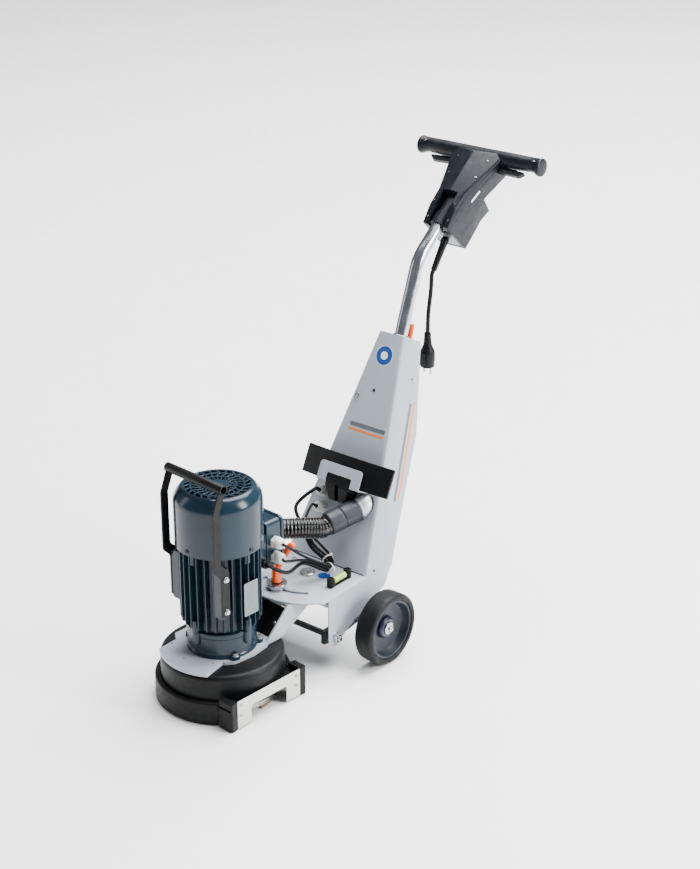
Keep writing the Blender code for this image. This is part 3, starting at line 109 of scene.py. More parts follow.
# -------------------------------------------------------------------- camera
azimuth = math.radians(39.04)
elevation = math.radians(23.706)
aim = Vector((0.0, 0.0267, 0.4953))
back = Vector((math.sin(azimuth) * math.cos(elevation), -math.cos(azimuth) * math.cos(elevation),
               math.sin(elevation)))
camera_data = bpy.data.cameras.new("camera")
camera_data.lens = 74.59
camera_data.sensor_width = 36.0
camera = bpy.data.objects.new("camera", camera_data)
camera.location = aim + back * 4.2425
camera.rotation_mode = "QUATERNION"
camera.rotation_quaternion = (-back).to_track_quat("-Z", "Y")
bpy.context.scene.collection.objects.link(camera)
bpy.context.scene.camera = camera


# ----------------------------------------------------------------- materials
def srgb(r, g, b):
    """Linear colour from 8-bit screen values."""
    return tuple((c / 255.0 / 12.92) if c <= 10 else ((c / 255.0 + 0.055) / 1.055) ** 2.4 for c in (r, g, b))


def surface(name, colour, rough, metal=0.0, tint=0.06, patch=7.0, rough_spread=0.10, grain=600.0,
            bump=0.04, depth=0.0002, coat=0.0, coat_rough=0.2, stretch=(1.0, 1.0, 1.0), cells=False,
            specks=None, clear=0.0, shine=0.5):
    """Procedural finish: patchy colour, uneven roughness and a fine relief."""
    mat = bpy.data.materials.new(name)
    mat.use_nodes = True
    nodes = mat.node_tree.nodes
    link = mat.node_tree.links.new
    shader = nodes["Principled BSDF"]
    shader.inputs["Metallic"].default_value = metal
    shader.inputs["Coat Weight"].default_value = coat
    shader.inputs["Coat Roughness"].default_value = coat_rough
    shader.inputs["Transmission Weight"].default_value = clear
    shader.inputs["Specular IOR Level"].default_value = shine
    spot = nodes.new("ShaderNodeTexCoord")
    mapping = nodes.new("ShaderNodeMapping")
    mapping.inputs["Scale"].default_value = stretch
    link(spot.outputs["Object"], mapping.inputs["Vector"])
    if cells:
        broad = nodes.new("ShaderNodeTexVoronoi")
        broad.inputs["Scale"].default_value = patch
        broad_value = broad.outputs["Color"]
    else:
        broad = nodes.new("ShaderNodeTexNoise")
        broad.inputs["Scale"].default_value = patch
        broad.inputs["Detail"].default_value = 4.0
        broad_value = broad.outputs["Fac"]
    link(mapping.outputs["Vector"], broad.inputs["Vector"])
    ramp = nodes.new("ShaderNodeValToRGB")
    low = tuple(max(0.0, c * (1.0 - tint)) for c in colour)
    high = tuple(min(1.0, c * (1.0 + tint)) for c in colour)
    ramp.color_ramp.elements[0].position = 0.30
    ramp.color_ramp.elements[1].position = 0.70
    ramp.color_ramp.elements[0].color = (*low, 1.0)
    ramp.color_ramp.elements[1].color = (*high, 1.0)
    link(broad_value, ramp.inputs["Fac"])
    colour_out = ramp.outputs["Color"]
    if specks:
        speck_scale, speck_colour, speck_edge = specks
        dots = nodes.new("ShaderNodeTexVoronoi")
        dots.inputs["Scale"].default_value = speck_scale
        link(mapping.outputs["Vector"], dots.inputs["Vector"])
        step = nodes.new("ShaderNodeMath")
        step.operation = "LESS_THAN"
        step.inputs[1].default_value = speck_edge
        link(dots.outputs["Distance"], step.inputs[0])
        mix = nodes.new("ShaderNodeMix")
        mix.data_type = "RGBA"
        mix.inputs[7].default_value = (*speck_colour, 1.0)
        link(step.outputs[0], mix.inputs[0])
        link(colour_out, mix.inputs[6])
        colour_out = mix.outputs[2]
    link(colour_out, shader.inputs["Base Color"])
    fine = nodes.new("ShaderNodeTexNoise")
    fine.inputs["Scale"].default_value = grain
    fine.inputs["Detail"].default_value = 3.0
    link(mapping.outputs["Vector"], fine.inputs["Vector"])
    spread = nodes.new("ShaderNodeMapRange")
    spread.inputs["From Min"].default_value = 0.30
    spread.inputs["From Max"].default_value = 0.70
    spread.inputs["To Min"].default_value = max(0.02, rough - rough_spread)
    spread.inputs["To Max"].default_value = min(1.0, rough + rough_spread)
    medium = nodes.new("ShaderNodeTexNoise")
    medium.inputs["Scale"].default_value = patch * 6.0
    medium.inputs["Detail"].default_value = 5.0
    link(mapping.outputs["Vector"], medium.inputs["Vector"])
    link(medium.outputs["Fac"], spread.inputs["Value"])
    link(spread.outputs["Result"], shader.inputs["Roughness"])
    relief = nodes.new("ShaderNodeBump")
    relief.inputs["Strength"].default_value = bump
    relief.inputs["Distance"].default_value = depth
    link(fine.outputs["Fac"], relief.inputs["Height"])
    link(relief.outputs["Normal"], shader.inputs["Normal"])
    return mat


LOOKS = {
    "grey_paint": surface("grey_powder_coat", srgb(158, 167, 175), 0.40, shine=0.35, tint=0.025, patch=5.0,
                          grain=900.0,
                          bump=0.25, depth=0.00015),
    "motor_paint": surface("motor_enamel", srgb(17, 36, 48), 0.22, tint=0.07, patch=8.0, rough_spread=0.05,
                           grain=260.0,
                           bump=0.08, depth=0.0002, coat=0.12, coat_rough=0.08, shine=0.22),
    "black_paint": surface("black_textured_paint", srgb(10, 11, 13), 0.46, shine=0.16, tint=0.12,
                           patch=20.0, grain=1100.0,
                           bump=0.35, depth=0.0002),
    "frame_paint": surface("dark_green_grey_paint", srgb(34, 44, 42), 0.42, tint=0.14, patch=16.0,
                           grain=700.0,
                           bump=0.30),
    "zinc": surface("zinc_plate", srgb(176, 180, 184), 0.27, metal=1.0, tint=0.06, patch=40.0,
                    rough_spread=0.05,
                    grain=900.0, bump=0.04),
    "steel": surface("turned_steel", srgb(165, 165, 166), 0.34, metal=1.0, tint=0.10, patch=40.0,
                     grain=1200.0,
                     bump=0.15),
    "stainless": surface("brushed_stainless", srgb(196, 195, 190), 0.33, metal=1.0, tint=0.05, patch=30.0,
                         grain=260.0, bump=0.30, stretch=(1.0, 0.05, 1.0)),
    "segments": surface("bronze_bonded_segments", srgb(132, 116, 92), 0.50, metal=0.75, tint=0.22, patch=90.0,
                        grain=900.0, bump=0.6, specks=(900.0, srgb(70, 66, 60), 0.28)),
    "black_rubber": surface("black_rubber", srgb(10, 11, 13), 0.46, shine=0.16, tint=0.12, patch=18.0,
                            grain=800.0, bump=0.25),
    "slate_rubber": surface("slate_rubber", srgb(38, 41, 49), 0.42, shine=0.3, tint=0.08, patch=18.0,
                            grain=700.0, bump=0.20),
    "tyre_rubber": surface("tyre_rubber", srgb(13, 14, 16), 0.52, shine=0.18, tint=0.12, patch=16.0,
                           grain=500.0, bump=0.35,
                           depth=0.0003),
    "rim_plastic": surface("rim_plastic", srgb(26, 33, 42), 0.42, shine=0.25, tint=0.06, patch=20.0,
                           grain=900.0, bump=0.15),
    "light_plastic": surface("light_grey_plastic", srgb(214, 216, 211), 0.38, tint=0.04, patch=30.0,
                             grain=900.0,
                             bump=0.15),
    "vial": surface("vial_acrylic", srgb(196, 224, 96), 0.10, tint=0.06, patch=40.0, grain=300.0, bump=0.02,
                    clear=0.35, coat=0.6, coat_rough=0.05),
    "orange_plastic": surface("orange_plastic", srgb(230, 78, 8), 0.32, tint=0.07, patch=40.0, grain=900.0,
                              bump=0.12, coat=0.3),
    "handle_plastic": surface("moulded_handle_plastic", srgb(11, 17, 25), 0.42, shine=0.22, tint=0.08,
                              patch=10.0, grain=1500.0,
                              bump=0.25, depth=0.0001),
}
HOSE_LOOK = surface("hose_plastic", srgb(8, 9, 10), 0.24, shine=0.4, tint=0.10, patch=30.0, grain=500.0,
                    bump=0.12, coat=0.25)
TUBE_LOOK = surface("zinc_plated_tube", srgb(168, 176, 184), 0.22, metal=1.0, tint=0.12, patch=26.0,
                    rough_spread=0.09, grain=420.0, bump=0.05, stretch=(1.0, 0.25, 0.12))
HUB_LOOK = surface("navy_hub_plastic", srgb(22, 28, 50), 0.36, shine=0.35, tint=0.08, patch=30.0,
                   grain=900.0, bump=0.12)
SIGN_LOOK = surface("blue_sign", srgb(4, 62, 140), 0.36, tint=0.05, patch=30.0, grain=900.0, bump=0.05)
WHITE_LOOK = surface("white_print", srgb(232, 234, 236), 0.34, tint=0.03, patch=30.0, grain=900.0, bump=0.05)
LINE_LOOK = surface("orange_line", srgb(238, 112, 10), 0.40, tint=0.05, patch=40.0, grain=900.0, bump=0.05)
PLATE_LOOK = surface("dull_rating_plate", srgb(104, 112, 118), 0.34, metal=0.6, tint=0.05, patch=30.0,
                     grain=500.0,
                     bump=0.08)
STRIPE_LOOK = surface("dark_grey_stripe", srgb(86, 94, 101), 0.42, tint=0.05, patch=40.0, grain=900.0,
                      bump=0.05)
SATIN_LOOK = surface("satin_zinc", srgb(196, 200, 203), 0.46, metal=0.85, tint=0.03, patch=20.0,
                     rough_spread=0.04,
                     grain=900.0, bump=0.02)
# Dark finish of the deck seam rod, which is painted shade of the narrow gap where the column's front panel
# meets the deck; the small panel plug also uses it as its own dark colour.
GAP_SHADE_AND_PLUG_LOOK = surface("painted_gap_shade_and_plug", srgb(40, 42, 44), 0.6, tint=0.15, patch=60.0, grain=900.0, bump=0.3)


# ------------------------------------------------------------- mesh builders
def mesh_object(name, verts, faces, matrix=Matrix.Identity(4)):
    """Mesh object from points of a local frame."""
    mesh = bpy.data.meshes.new(name)
    mesh.from_pydata([matrix @ Vector(v) for v in verts], [], faces)
    bm = bmesh.new()
    bm.from_mesh(mesh)
    bmesh.ops.recalc_face_normals(bm, faces=bm.faces)
    bm.to_mesh(mesh)
    bm.free()
    obj = bpy.data.objects.new(name, mesh)
    bpy.context.scene.collection.objects.link(obj)
    return obj


def prism(name, outline, low, high, matrix):
    """Outline extruded along the local z axis."""
    count = len(outline)
    verts = [(x, y, low) for x, y in outline] + [(x, y, high) for x, y in outline]
    faces = [tuple(range(count)), tuple(range(count, 2 * count))]
    faces += [(i, (i + 1) % count, count + (i + 1) % count, count + i) for i in range(count)]
    return mesh_object(name, verts, faces, matrix)


def box(name, low, high, matrix):
    outline = [(low[0], low[1]), (high[0], low[1]), (high[0], high[1]), (low[0], high[1])]
    return prism(name, outline, low[2], high[2], matrix)


def rounded(outline, radius, steps=6):
    """Outline with its corners replaced by arcs; radius may be a list."""
    radii = radius if isinstance(radius, (list, tuple)) else [radius] * len(outline)
    points = []
    count = len(outline)
    for i, corner in enumerate(outline):
        here = Vector(corner)
        before = Vector(outline[i - 1]) - here
        after = Vector(outline[(i + 1) % count]) - here
        turn = before.angle(after)
        if radii[i] <= 0 or turn > math.radians(176.0):
            points.append(tuple(here))
            continue
        reach_back = min(radii[i] / math.tan(turn / 2), before.length * 0.48, after.length * 0.48)
        first = here + before.normalized() * reach_back
        last = here + after.normalized() * reach_back
        for k in range(steps + 1):
            t = k / steps
            p = first * (1 - t) ** 2 + here * 2 * t * (1 - t) + last * t * t
            points.append((p.x, p.y))
    return points


def lathe(name, profile, segments, matrix, closed=False):
    """Profile of (radius, height) turned about the local z axis."""
    verts = []
    rings = []
    for radius, height in profile:
        if radius < 1e-7:
            rings.append([len(verts)])
            verts.append((0.0, 0.0, height))
            continue
        rings.append(list(range(len(verts), len(verts) + segments)))
        for k in range(segments):
            angle = 2.0 * math.pi * k / segments
            verts.append((radius * math.cos(angle), radius * math.sin(angle), height))
    pairs = list(zip(rings, rings[1:]))
    if closed:
        pairs.append((rings[-1], rings[0]))
    faces = []
    for lower, upper in pairs:
        for k in range(segments):
            n = (k + 1) % segments
            if len(lower) == 1 and len(upper) == 1:
                continue
            if len(lower) == 1:
                faces.append((lower[0], upper[k], upper[n]))
            elif len(upper) == 1:
                faces.append((lower[k], lower[n], upper[0]))
            else:
                faces.append((lower[k], lower[n], upper[n], upper[k]))
    return mesh_object(name, verts, faces, matrix)


def curve_points(knots, per_span):
    """Smooth path through the knots (Catmull-Rom)."""
    pts = [Vector(k) for k in knots]
    ends = [2 * pts[0] - pts[1]] + pts + [2 * pts[-1] - pts[-2]]
    path = []
    for i in range(1, len(ends) - 2):
        p0, p1, p2, p3 = ends[i - 1:i + 3]
        for k in range(per_span):
            t = k / per_span
            path.append(0.5 * (2 * p1 + (p2 - p0) * t + (2 * p0 - 5 * p1 + 4 * p2 - p3) * t * t
                               + (3 * p1 - p0 - 3 * p2 + p3) * t ** 3))
    path.append(pts[-1])
    return path


def even_path(points, step):
    """The same path with points at an even spacing."""
    lengths = [0.0]
    for a, b in zip(points, points[1:]):
        lengths.append(lengths[-1] + (b - a).length)
    count = max(2, round(lengths[-1] / step))
    path = []
    seg = 0
    for k in range(count + 1):
        goal = lengths[-1] * k / count
        while seg < len(points) - 2 and lengths[seg + 1] < goal:
            seg += 1
        span = lengths[seg + 1] - lengths[seg]
        t = (goal - lengths[seg]) / span if span else 0.0
        path.append(points[seg].lerp(points[seg + 1], t))
    return path


def sweep(name, path, radii, sides, matrix, inner=0.0):
    """Round bar or hollow pipe along a path."""
    path = [Vector(p) for p in path]
    radii = radii if isinstance(radii, (list, tuple)) else [radii] * len(path)
    tangents = [(path[min(i + 1, len(path) - 1)] - path[max(i - 1,
                                                            0)]).normalized() for i in range(len(path))]
    side = tangents[0].orthogonal().normalized()
    verts = []
    outer_rings = []
    inner_rings = []
    for i, point in enumerate(path):
        side = (side - tangents[i] * side.dot(tangents[i])).normalized()
        up = tangents[i].cross(side)
        for radius, rings in ((radii[i], outer_rings), (inner, inner_rings)):
            if radius <= 0:
                continue
            rings.append(list(range(len(verts), len(verts) + sides)))
            for k in range(sides):
                angle = 2.0 * math.pi * k / sides
                verts.append(point + (side * math.cos(angle) + up * math.sin(angle)) * radius)
    faces = []
    for rings in (outer_rings, inner_rings):
        for a, b in zip(rings, rings[1:]):
            faces += [(a[k], a[(k + 1) % sides], b[(k + 1) % sides], b[k]) for k in range(sides)]
    if inner > 0:
        for end in (0, -1):
            a, b = outer_rings[end], inner_rings[end]
            faces += [(a[k], a[(k + 1) % sides], b[(k + 1) % sides], b[k]) for k in range(sides)]
    else:
        faces += [tuple(outer_rings[0]), tuple(outer_rings[-1])]
    return mesh_object(name, verts, faces, matrix)


def arc(centre_x, centre_y, radius, start, end, steps):
    """Points of a circular arc, angles in radians."""
    return [(centre_x + radius * math.cos(start + (end - start) * k / steps),
             centre_y + radius * math.sin(start + (end - start) * k / steps)) for k in range(steps + 1)]


def place(matrix, point, direction):
    """Frame at a local point with its z axis along a local direction."""
    turn = Vector((0, 0, 1)).rotation_difference(Vector(direction).normalized())
    return matrix @ Matrix.Translation(point) @ turn.to_matrix().to_4x4()


def merged(target, others):
    """Several meshes as one object, each a closed shell of its own."""
    bm = bmesh.new()
    bm.from_mesh(target.data)
    for other in others:
        bm.from_mesh(other.data)
        bpy.data.objects.remove(other, do_unlink=True)
    bm.to_mesh(target.data)
    bm.free()
    return target


def combine(target, tools, operation):
    """Exact Boolean with each tool in turn; the tools are used up."""
    for tool in tools:
        modifier = target.modifiers.new("shape", "BOOLEAN")
        modifier.operation = operation
        modifier.solver = "EXACT"
        modifier.object = tool
        graph = bpy.context.evaluated_depsgraph_get()
        shaped = bpy.data.meshes.new_from_object(target.evaluated_get(graph))
        target.modifiers.clear()
        target.data = shaped
        bpy.data.objects.remove(tool, do_unlink=True)
    return target


def cut(target, tools):
    return combine(target, tools, "DIFFERENCE")


def soften(obj, width, steps=2, angle=32.0, smooth=38.0):
    """Clean coplanar faces, bevelled edges and smooth shading."""
    bm = bmesh.new()
    bm.from_mesh(obj.data)
    bmesh.ops.remove_doubles(bm, verts=bm.verts, dist=0.00002)
    bmesh.ops.dissolve_degenerate(bm, edges=bm.edges, dist=0.00002)
    bmesh.ops.dissolve_limit(bm, angle_limit=math.radians(0.3), verts=bm.verts, edges=bm.edges)
    bm.to_mesh(obj.data)
    bm.free()
    obj.data.shade_smooth()
    obj.data.set_sharp_from_angle(angle=math.radians(smooth))
    if width > 0:
        bevel = obj.modifiers.new("edge", "BEVEL")
        bevel.width = width
        bevel.segments = steps
        bevel.limit_method = "ANGLE"
        bevel.angle_limit = math.radians(angle)
        bevel.harden_normals = True
        bevel.miter_outer = "MITER_ARC"
    return obj


def show(obj, body, slot, replaces=(), look=None):
    """Finish, CAD body and the CAD nodes that the piece stands for."""
    obj.data.materials.clear()
    obj.data.materials.append(look or LOOKS[slot])
    if body:
        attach(obj, body)
    if replaces:
        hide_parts(*replaces)
    return obj


SLOT_OF = {entry["node"]: entry["material_slot"] for entry in frame["record"]["subparts"]}


def refined(node, width, steps=2, angle=32.0, smooth=38.0, look=None):
    """The CAD shape with clean faces, bevelled edges and its finish."""
    source = NODES[node]
    obj = bpy.data.objects.new(node + "_finished", source.data.copy())
    bpy.context.scene.collection.objects.link(obj)
    soften(obj, width, steps, angle, smooth)
    return show(obj, source["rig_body"], SLOT_OF[node], [node], look)


def smooth(obj, angle=38.0):
    obj.data.shade_smooth()
    obj.data.set_sharp_from_angle(angle=math.radians(angle))
    return obj


def turned(name, profile, segments, matrix, closed=False, width=0.0004, angle=38.0):
    """Turned piece with its edges broken."""
    return soften(lathe(name, profile, segments, matrix, closed), width, 2, 30.0, angle)


def hex_head(name, matrix, across, height, washer=0.0, shank=0.0):
    """Hexagon bolt head seated on a washer; local z points out."""
    radius = across / math.sqrt(3.0)
    base = 0.0016 if washer else 0.0
    head = lathe(name, [(0, base), (radius, base), (radius, base + height * 0.86),
                        (radius * 0.90, base + height),
                        (0, base + height)], 6, matrix)
    parts = []
    if washer:
        parts.append(lathe("washer", [(0, 0), (washer, 0), (washer, 0.0011), (washer - 0.0005, 0.0016),
                                      (0, 0.0016)],
                           28, matrix))
    if shank:
        thread = [(0, base + height - 0.001)]
        turns = max(2, int(shank / 0.0015))
        for k in range(turns):
            z = base + height + shank * k / turns
            thread += [(across * 0.27, z), (across * 0.30, z + shank / turns * 0.5)]
        thread += [(across * 0.24, base + height + shank), (0, base + height + shank)]
        parts.append(lathe("thread", thread, 20, matrix))
    return soften(merged(head, parts), 0.00025, 1, 30.0, 30.0)


def cap_screw(name, matrix, radius, height):
    """Pan head screw with a round socket; local z points out."""
    profile = [(0, height * 0.45), (radius * 0.45, height * 0.45), (radius * 0.45, height),
               (radius * 0.80, height),
               (radius, height * 0.62), (radius, 0), (0, 0)]
    return smooth(lathe(name, profile, 20, matrix), 40.0)


def screws(name, spots, radius, height, body, slot, replaces=(), hexagon=False, look=None):
    """A set of equal screws as one piece."""
    made = []
    for spot in spots:
        made.append(hex_head(name, spot, radius * 1.8, height, radius * 1.25) if hexagon
                    else cap_screw(name, spot, radius, height))
    for extra in made[1:]:
        extra.modifiers.clear()
    return show(merged(made[0], made[1:]), body, slot, replaces, look)


# -------------------------------------------------------- power cord and plug
CORD_RADIUS = 0.0052
relief_frame = place(GRIP, (0.0, 0.1020, -0.0500), (0.0, -0.957, -0.290))
to_main = MAIN.inverted() @ relief_frame
plug_top = Vector((0.0, 0.4600, 0.6540))
cord_knots = [to_main @ Vector((0, 0, along)) for along in (0.0, 0.030, 0.060, 0.086, 0.096)]
cord_knots += [(0.0, 0.4700, 0.7700), (0.0, 0.4615, 0.7150), plug_top + Vector((0, 0, 0.012)), plug_top,
               plug_top + Vector((0, 0, -0.011))]
cord_line = [MAIN @ p for p in even_path(curve_points(cord_knots, 12), 0.006)]
power_cord = smooth(sweep("power_cord_flex", cord_line, CORD_RADIUS, 20, Matrix.Identity(4)))
show(power_cord, "handle", "black_rubber", ["power_cord"])

relief_profile = [(CORD_RADIUS + 0.0004, -0.010), (0.0076, -0.010), (0.0076, 0.002), (0.0100, 0.003),
                  (0.0100, 0.014), (0.0090, 0.018), (0.0072, 0.078), (0.0078, 0.0785), (0.0078, 0.0825),
                  (0.0070, 0.0840), (CORD_RADIUS + 0.0004, 0.0840)]
strain_relief = turned("strain_relief_sleeve", relief_profile, 40, relief_frame, closed=True, width=0.0002)
show(strain_relief, "handle", "black_rubber", ["strain_relief"])

plug_frame = place(MAIN, plug_top, (0.0, 0.02, -1.0))
plug_profile = [(CORD_RADIUS + 0.0005, -0.0100), (0.0080, -0.0100), (0.0086, -0.0080), (0.0090, 0.0020),
                (0.0080, 0.0026), (0.0080, 0.0046), (0.0094, 0.0052), (0.0098, 0.0110), (0.0086, 0.0116),
                (0.0086, 0.0136), (0.0100, 0.0142), (0.0106, 0.0200), (0.0146, 0.0300), (0.0178, 0.0370),
                (0.0188, 0.0440), (0.0190, 0.0600), (0.0178, 0.0640), (0.0178, 0.0760), (0.0168, 0.0780),
                (0, 0.0780), (0, 0.0140), (CORD_RADIUS + 0.0005, 0.0140)]
plug = turned("mains_plug", plug_profile, 48, plug_frame, closed=True, width=0.0)
nose = soften(box("nose", (-0.0060, 0.0120, 0.0400), (0.0060, 0.0232, 0.0700), plug_frame), 0.0)
show(merged(plug, [nose]), "handle", "black_rubber", ["plug"])
pins = []
for x in (-0.0095, 0.0095):
    spot = plug_frame @ Matrix.Translation((x, 0, 0))
    pins.append(smooth(lathe("plug_pins", [(0, 0.074), (0.0024, 0.074), (0.0024, 0.0945), (0.0015, 0.0968),
                                           (0, 0.0970)], 20, spot)))
plug_pins = show(merged(pins[0], pins[1:]), "handle", "steel")

# ------------------------------------------------------------------- chassis
refined("chassis_shell", 0.0007, 2, 40.0, 48.0)
refined("rear_cover", 0.0006)
refined("control_box", 0.003, 3)
refined("tube_guide", 0.0003)
# Thin dark rod along the foot of the front panel: painted shade of the gap between the panel and the deck.
seam_z = DECK_TOP + 0.0012
seam = sweep("deck_seam_painted_shade", [Vector((x, panel_y(seam_z) - 0.0006, seam_z)) for x in (-0.112, 0.0, 0.112)],
             0.0011, 10,
             MAIN)
show(smooth(seam), "chassis", "black_rubber", look=GAP_SHADE_AND_PLUG_LOOK)

pivot_head = turned("pivot_pin_head", [(0, 0.1620), (0.0100, 0.1620), (0.0100, DECK_TOP + GAP),
                                       (0.0185, DECK_TOP + GAP), (0.0185, DECK_TOP + 0.0030),
                                       (0.0165, DECK_TOP + 0.0046), (0.0050, DECK_TOP + 0.0046),
                                       (0.0044, DECK_TOP + 0.0020), (0, DECK_TOP + 0.0020)], 56, MAIN)
show(pivot_head, "chassis", "zinc", ["pivot_bolt"])

# generic round signs and plain accent lines
sign_frame = place(MAIN, panel_point(-0.002, 0.6542), PANEL_OUT)
sign = turned("round_sign", [(0, 0), (0.0232, 0), (0.0232, 0.0004), (0, 0.0004)], 56, sign_frame, width=0.0)
show(sign, "chassis", "rim_plastic", look=SIGN_LOOK)
sign_ring = turned("round_sign_ring", [(0.0232, 0.0001), (0.0243, 0.0001), (0.0243, 0.0005),
                                       (0.0232, 0.0005)], 56,
                   sign_frame, closed=True, width=0.0)
dot = turned("dot", [(0, 0.0002), (0.0100, 0.0002), (0.0100, 0.0006), (0, 0.0006)], 40, sign_frame, width=0.0)
show(merged(sign_ring, [dot]), "chassis", "light_plastic", look=WHITE_LOOK)
deck_sign_frame = MAIN @ Matrix.Translation((0.040, 0.013, DECK_TOP))
deck_sign = turned("deck_sign", [(0, 0), (0.0150, 0), (0.0150, 0.0004), (0, 0.0004)], 48, deck_sign_frame,
                   width=0.0)
show(deck_sign, "chassis", "rim_plastic", look=SIGN_LOOK)


def panel_strip(name, first, last, half_width, thickness=0.0003):
    """Thin strip on the column's front panel between two (x, z) spots."""
    a, b = panel_point(*first), panel_point(*last)
    along = (b - a).normalized()
    wide = PANEL_OUT.cross(along) * half_width
    verts = [a - wide, b - wide, b + wide, a + wide]
    verts += [v + PANEL_OUT * thickness for v in verts]
    faces = [(0, 1, 2, 3), (4, 5, 6, 7), (0, 1, 5, 4), (1, 2, 6, 5), (2, 3, 7, 6), (3, 0, 4, 7)]
    return mesh_object(name, verts, faces, MAIN)


def side_point(side, y, z):
    return Vector((side * (SIDE_HALF_WIDTH - WIDTH_SLOPE * (z - COLUMN_FOOT[1])), y, z))


def side_strip(name, side, first, last, half_width, thickness=0.0003):
    """Thin strip on a side of the column between two (y, z) spots."""
    a, b = side_point(side, *first), side_point(side, *last)
    out = Vector((side, 0.0, WIDTH_SLOPE)).normalized()
    wide = out.cross((b - a).normalized()) * half_width
    verts = [a - wide, b - wide, b + wide, a + wide]
    verts += [v + out * thickness for v in verts]
    faces = [(0, 1, 2, 3), (4, 5, 6, 7), (0, 1, 5, 4), (1, 2, 6, 5), (2, 3, 7, 6), (3, 0, 4, 7)]
    return mesh_object(name, verts, faces, MAIN)


show(panel_strip("front_line", (-0.0440, 0.4846), (0.0600, 0.4846), 0.0026), "chassis", "orange_plastic",
     look=LINE_LOOK)
show(panel_strip("front_stripe", (-0.0440, 0.4960), (0.0600, 0.4960), 0.0050), "chassis", "rim_plastic",
     look=STRIPE_LOOK)
side_lines = [side_strip("side_lines", side, (0.3258, 0.5421), (0.2211, 0.3332), 0.0028) for side in (1, -1)]
show(merged(side_lines[0], side_lines[1:]), "chassis", "orange_plastic", look=LINE_LOOK)
side_stripes = [side_strip("side_stripes", side, (0.3098, 0.5421), (0.2051, 0.3332), 0.0042) for side in (1,
                                                                                                          -1)]
show(merged(side_stripes[0], side_stripes[1:]), "chassis", "rim_plastic", look=STRIPE_LOOK)

column_bolts = [place(MAIN, panel_point(-0.047, 0.558), PANEL_OUT)]
for side in (-1, 1):
    out = Vector((side, 0.0, WIDTH_SLOPE))
    column_bolts.append(place(MAIN, side_point(side, 0.3297, 0.5965), out))
screws("column_bolts", column_bolts, 0.0050, 0.0035, "chassis", "zinc", hexagon=True)
deck_bolt = MAIN @ Matrix.Translation((-0.065, 0.030, DECK_TOP))
screws("deck_bolt", [deck_bolt], 0.0062, 0.0045, "chassis", "zinc", hexagon=True)
plug_hole = turned("panel_plug", [(0, 0), (0.0042, 0), (0.0042, 0.0005), (0.0030, 0.0003), (0, 0.0003)], 24,
                   place(MAIN, panel_point(-0.0036, 0.5765), PANEL_OUT), width=0.0)
show(plug_hole, "chassis", "black_rubber", look=GAP_SHADE_AND_PLUG_LOOK)

cover_screws = []
for z in (0.30, 0.42, 0.56):
    for side in (-1, 1):
        half = SIDE_HALF_WIDTH - WIDTH_SLOPE * (z - COLUMN_FOOT[1]) - 0.016
        low_part = z < 0.4626
        y = 0.2100 + (z - 0.2725) / 1.777 if low_part else 0.3170 + (z - 0.4626) * 0.2768
        out = Vector((0.0, 0.871, -0.490)) if low_part else Vector((0.0, 0.9638, -0.2668))
        cover_screws.append(place(MAIN, Vector((side * half, y, z)) + out * 0.0024, out))
screws("rear_cover_screws", cover_screws, 0.0045, 0.0026, "chassis", "zinc")

# bumper, its bracket and the cable hook
across = Vector((1.0, 0.0, 0.0))
up_panel = PANEL_OUT.cross(across)
BUMPER = MAIN @ Matrix.Translation((0.0, panel_y(0.3973), 0.3973)) @ Matrix((
    (across.x, up_panel.x, PANEL_OUT.x, 0), (across.y, up_panel.y, PANEL_OUT.y, 0),
    (across.z, up_panel.z, PANEL_OUT.z, 0), (0, 0, 0, 1)))
refined("bumper_pad", 0.0016, 3)
bracket_outline = [(-0.0630, -0.0385), (-0.0630, 0.0090), (0.0630, 0.0090), (0.0630, -0.0385),
                   (0.0365, -0.0385),
                   (0.0365, -0.0160), (-0.0365, -0.0160), (-0.0365, -0.0385)]
bracket = prism("bumper_bracket_plate", rounded(bracket_outline, [0.001, 0.010, 0.010, 0.001, 0.001, 0.004,
                                                                  0.004,
                                                                  0.001]), 0.0434, 0.0464, BUMPER)
feet = [box("foot", (x, -0.0385, 0.0004), (x + 0.0265, -0.0355, 0.0440), BUMPER) for x in (-0.0630, 0.0365)]
show(soften(merged(bracket, feet), 0.0006), "chassis", "grey_paint", ["bumper_bracket"])
refined("cable_hook", 0.0015, 3)

# spirit level
holder_base = soften(prism("level_posts", rounded([(0.0815, -0.0270), (0.0945, -0.0270), (0.0945, 0.0480),
                                                   (0.0815, 0.0480)], 0.004), DECK_TOP + GAP,
                                                   DECK_TOP + 0.0035,
                           MAIN), 0.0006)
posts = []
for y in (-0.0200, 0.0410):
    posts.append(lathe("post", [(0, DECK_TOP + 0.002), (0.0093, DECK_TOP + 0.002),
                                (0.0093, DECK_TOP + 0.0215),
                                (0.0080, DECK_TOP + 0.0230), (0.0052, DECK_TOP + 0.0230),
                                (0.0048, DECK_TOP + 0.0205), (0, DECK_TOP + 0.0205)], 36,
                       MAIN @ Matrix.Translation((0.0880, y, 0))))
holder_base.modifiers.clear()
show(soften(merged(holder_base, posts), 0.0003, 2), "chassis", "black_rubber", ["level_holder"])
vial_frame = place(MAIN, (0.0880, 0.0105, DECK_TOP + 0.0125), (0, 1, 0))
vial = turned("level_vial_tube", [(0, -0.0205), (0.0064, -0.0205), (0.0075, -0.0195), (0.0075, 0.0195),
                                  (0.0064, 0.0205), (0, 0.0205)], 40, vial_frame, width=0.0)
show(vial, "chassis", "vial", ["level_vial"])
marks = [lathe("vial_marks", [(0.00752, y), (0.00770, y), (0.00770, y + 0.0008), (0.00752, y + 0.0008)], 40,
               vial_frame, closed=True) for y in (-0.0060, 0.0052)]
show(merged(marks[0], marks[1:]), "chassis", "black_rubber")

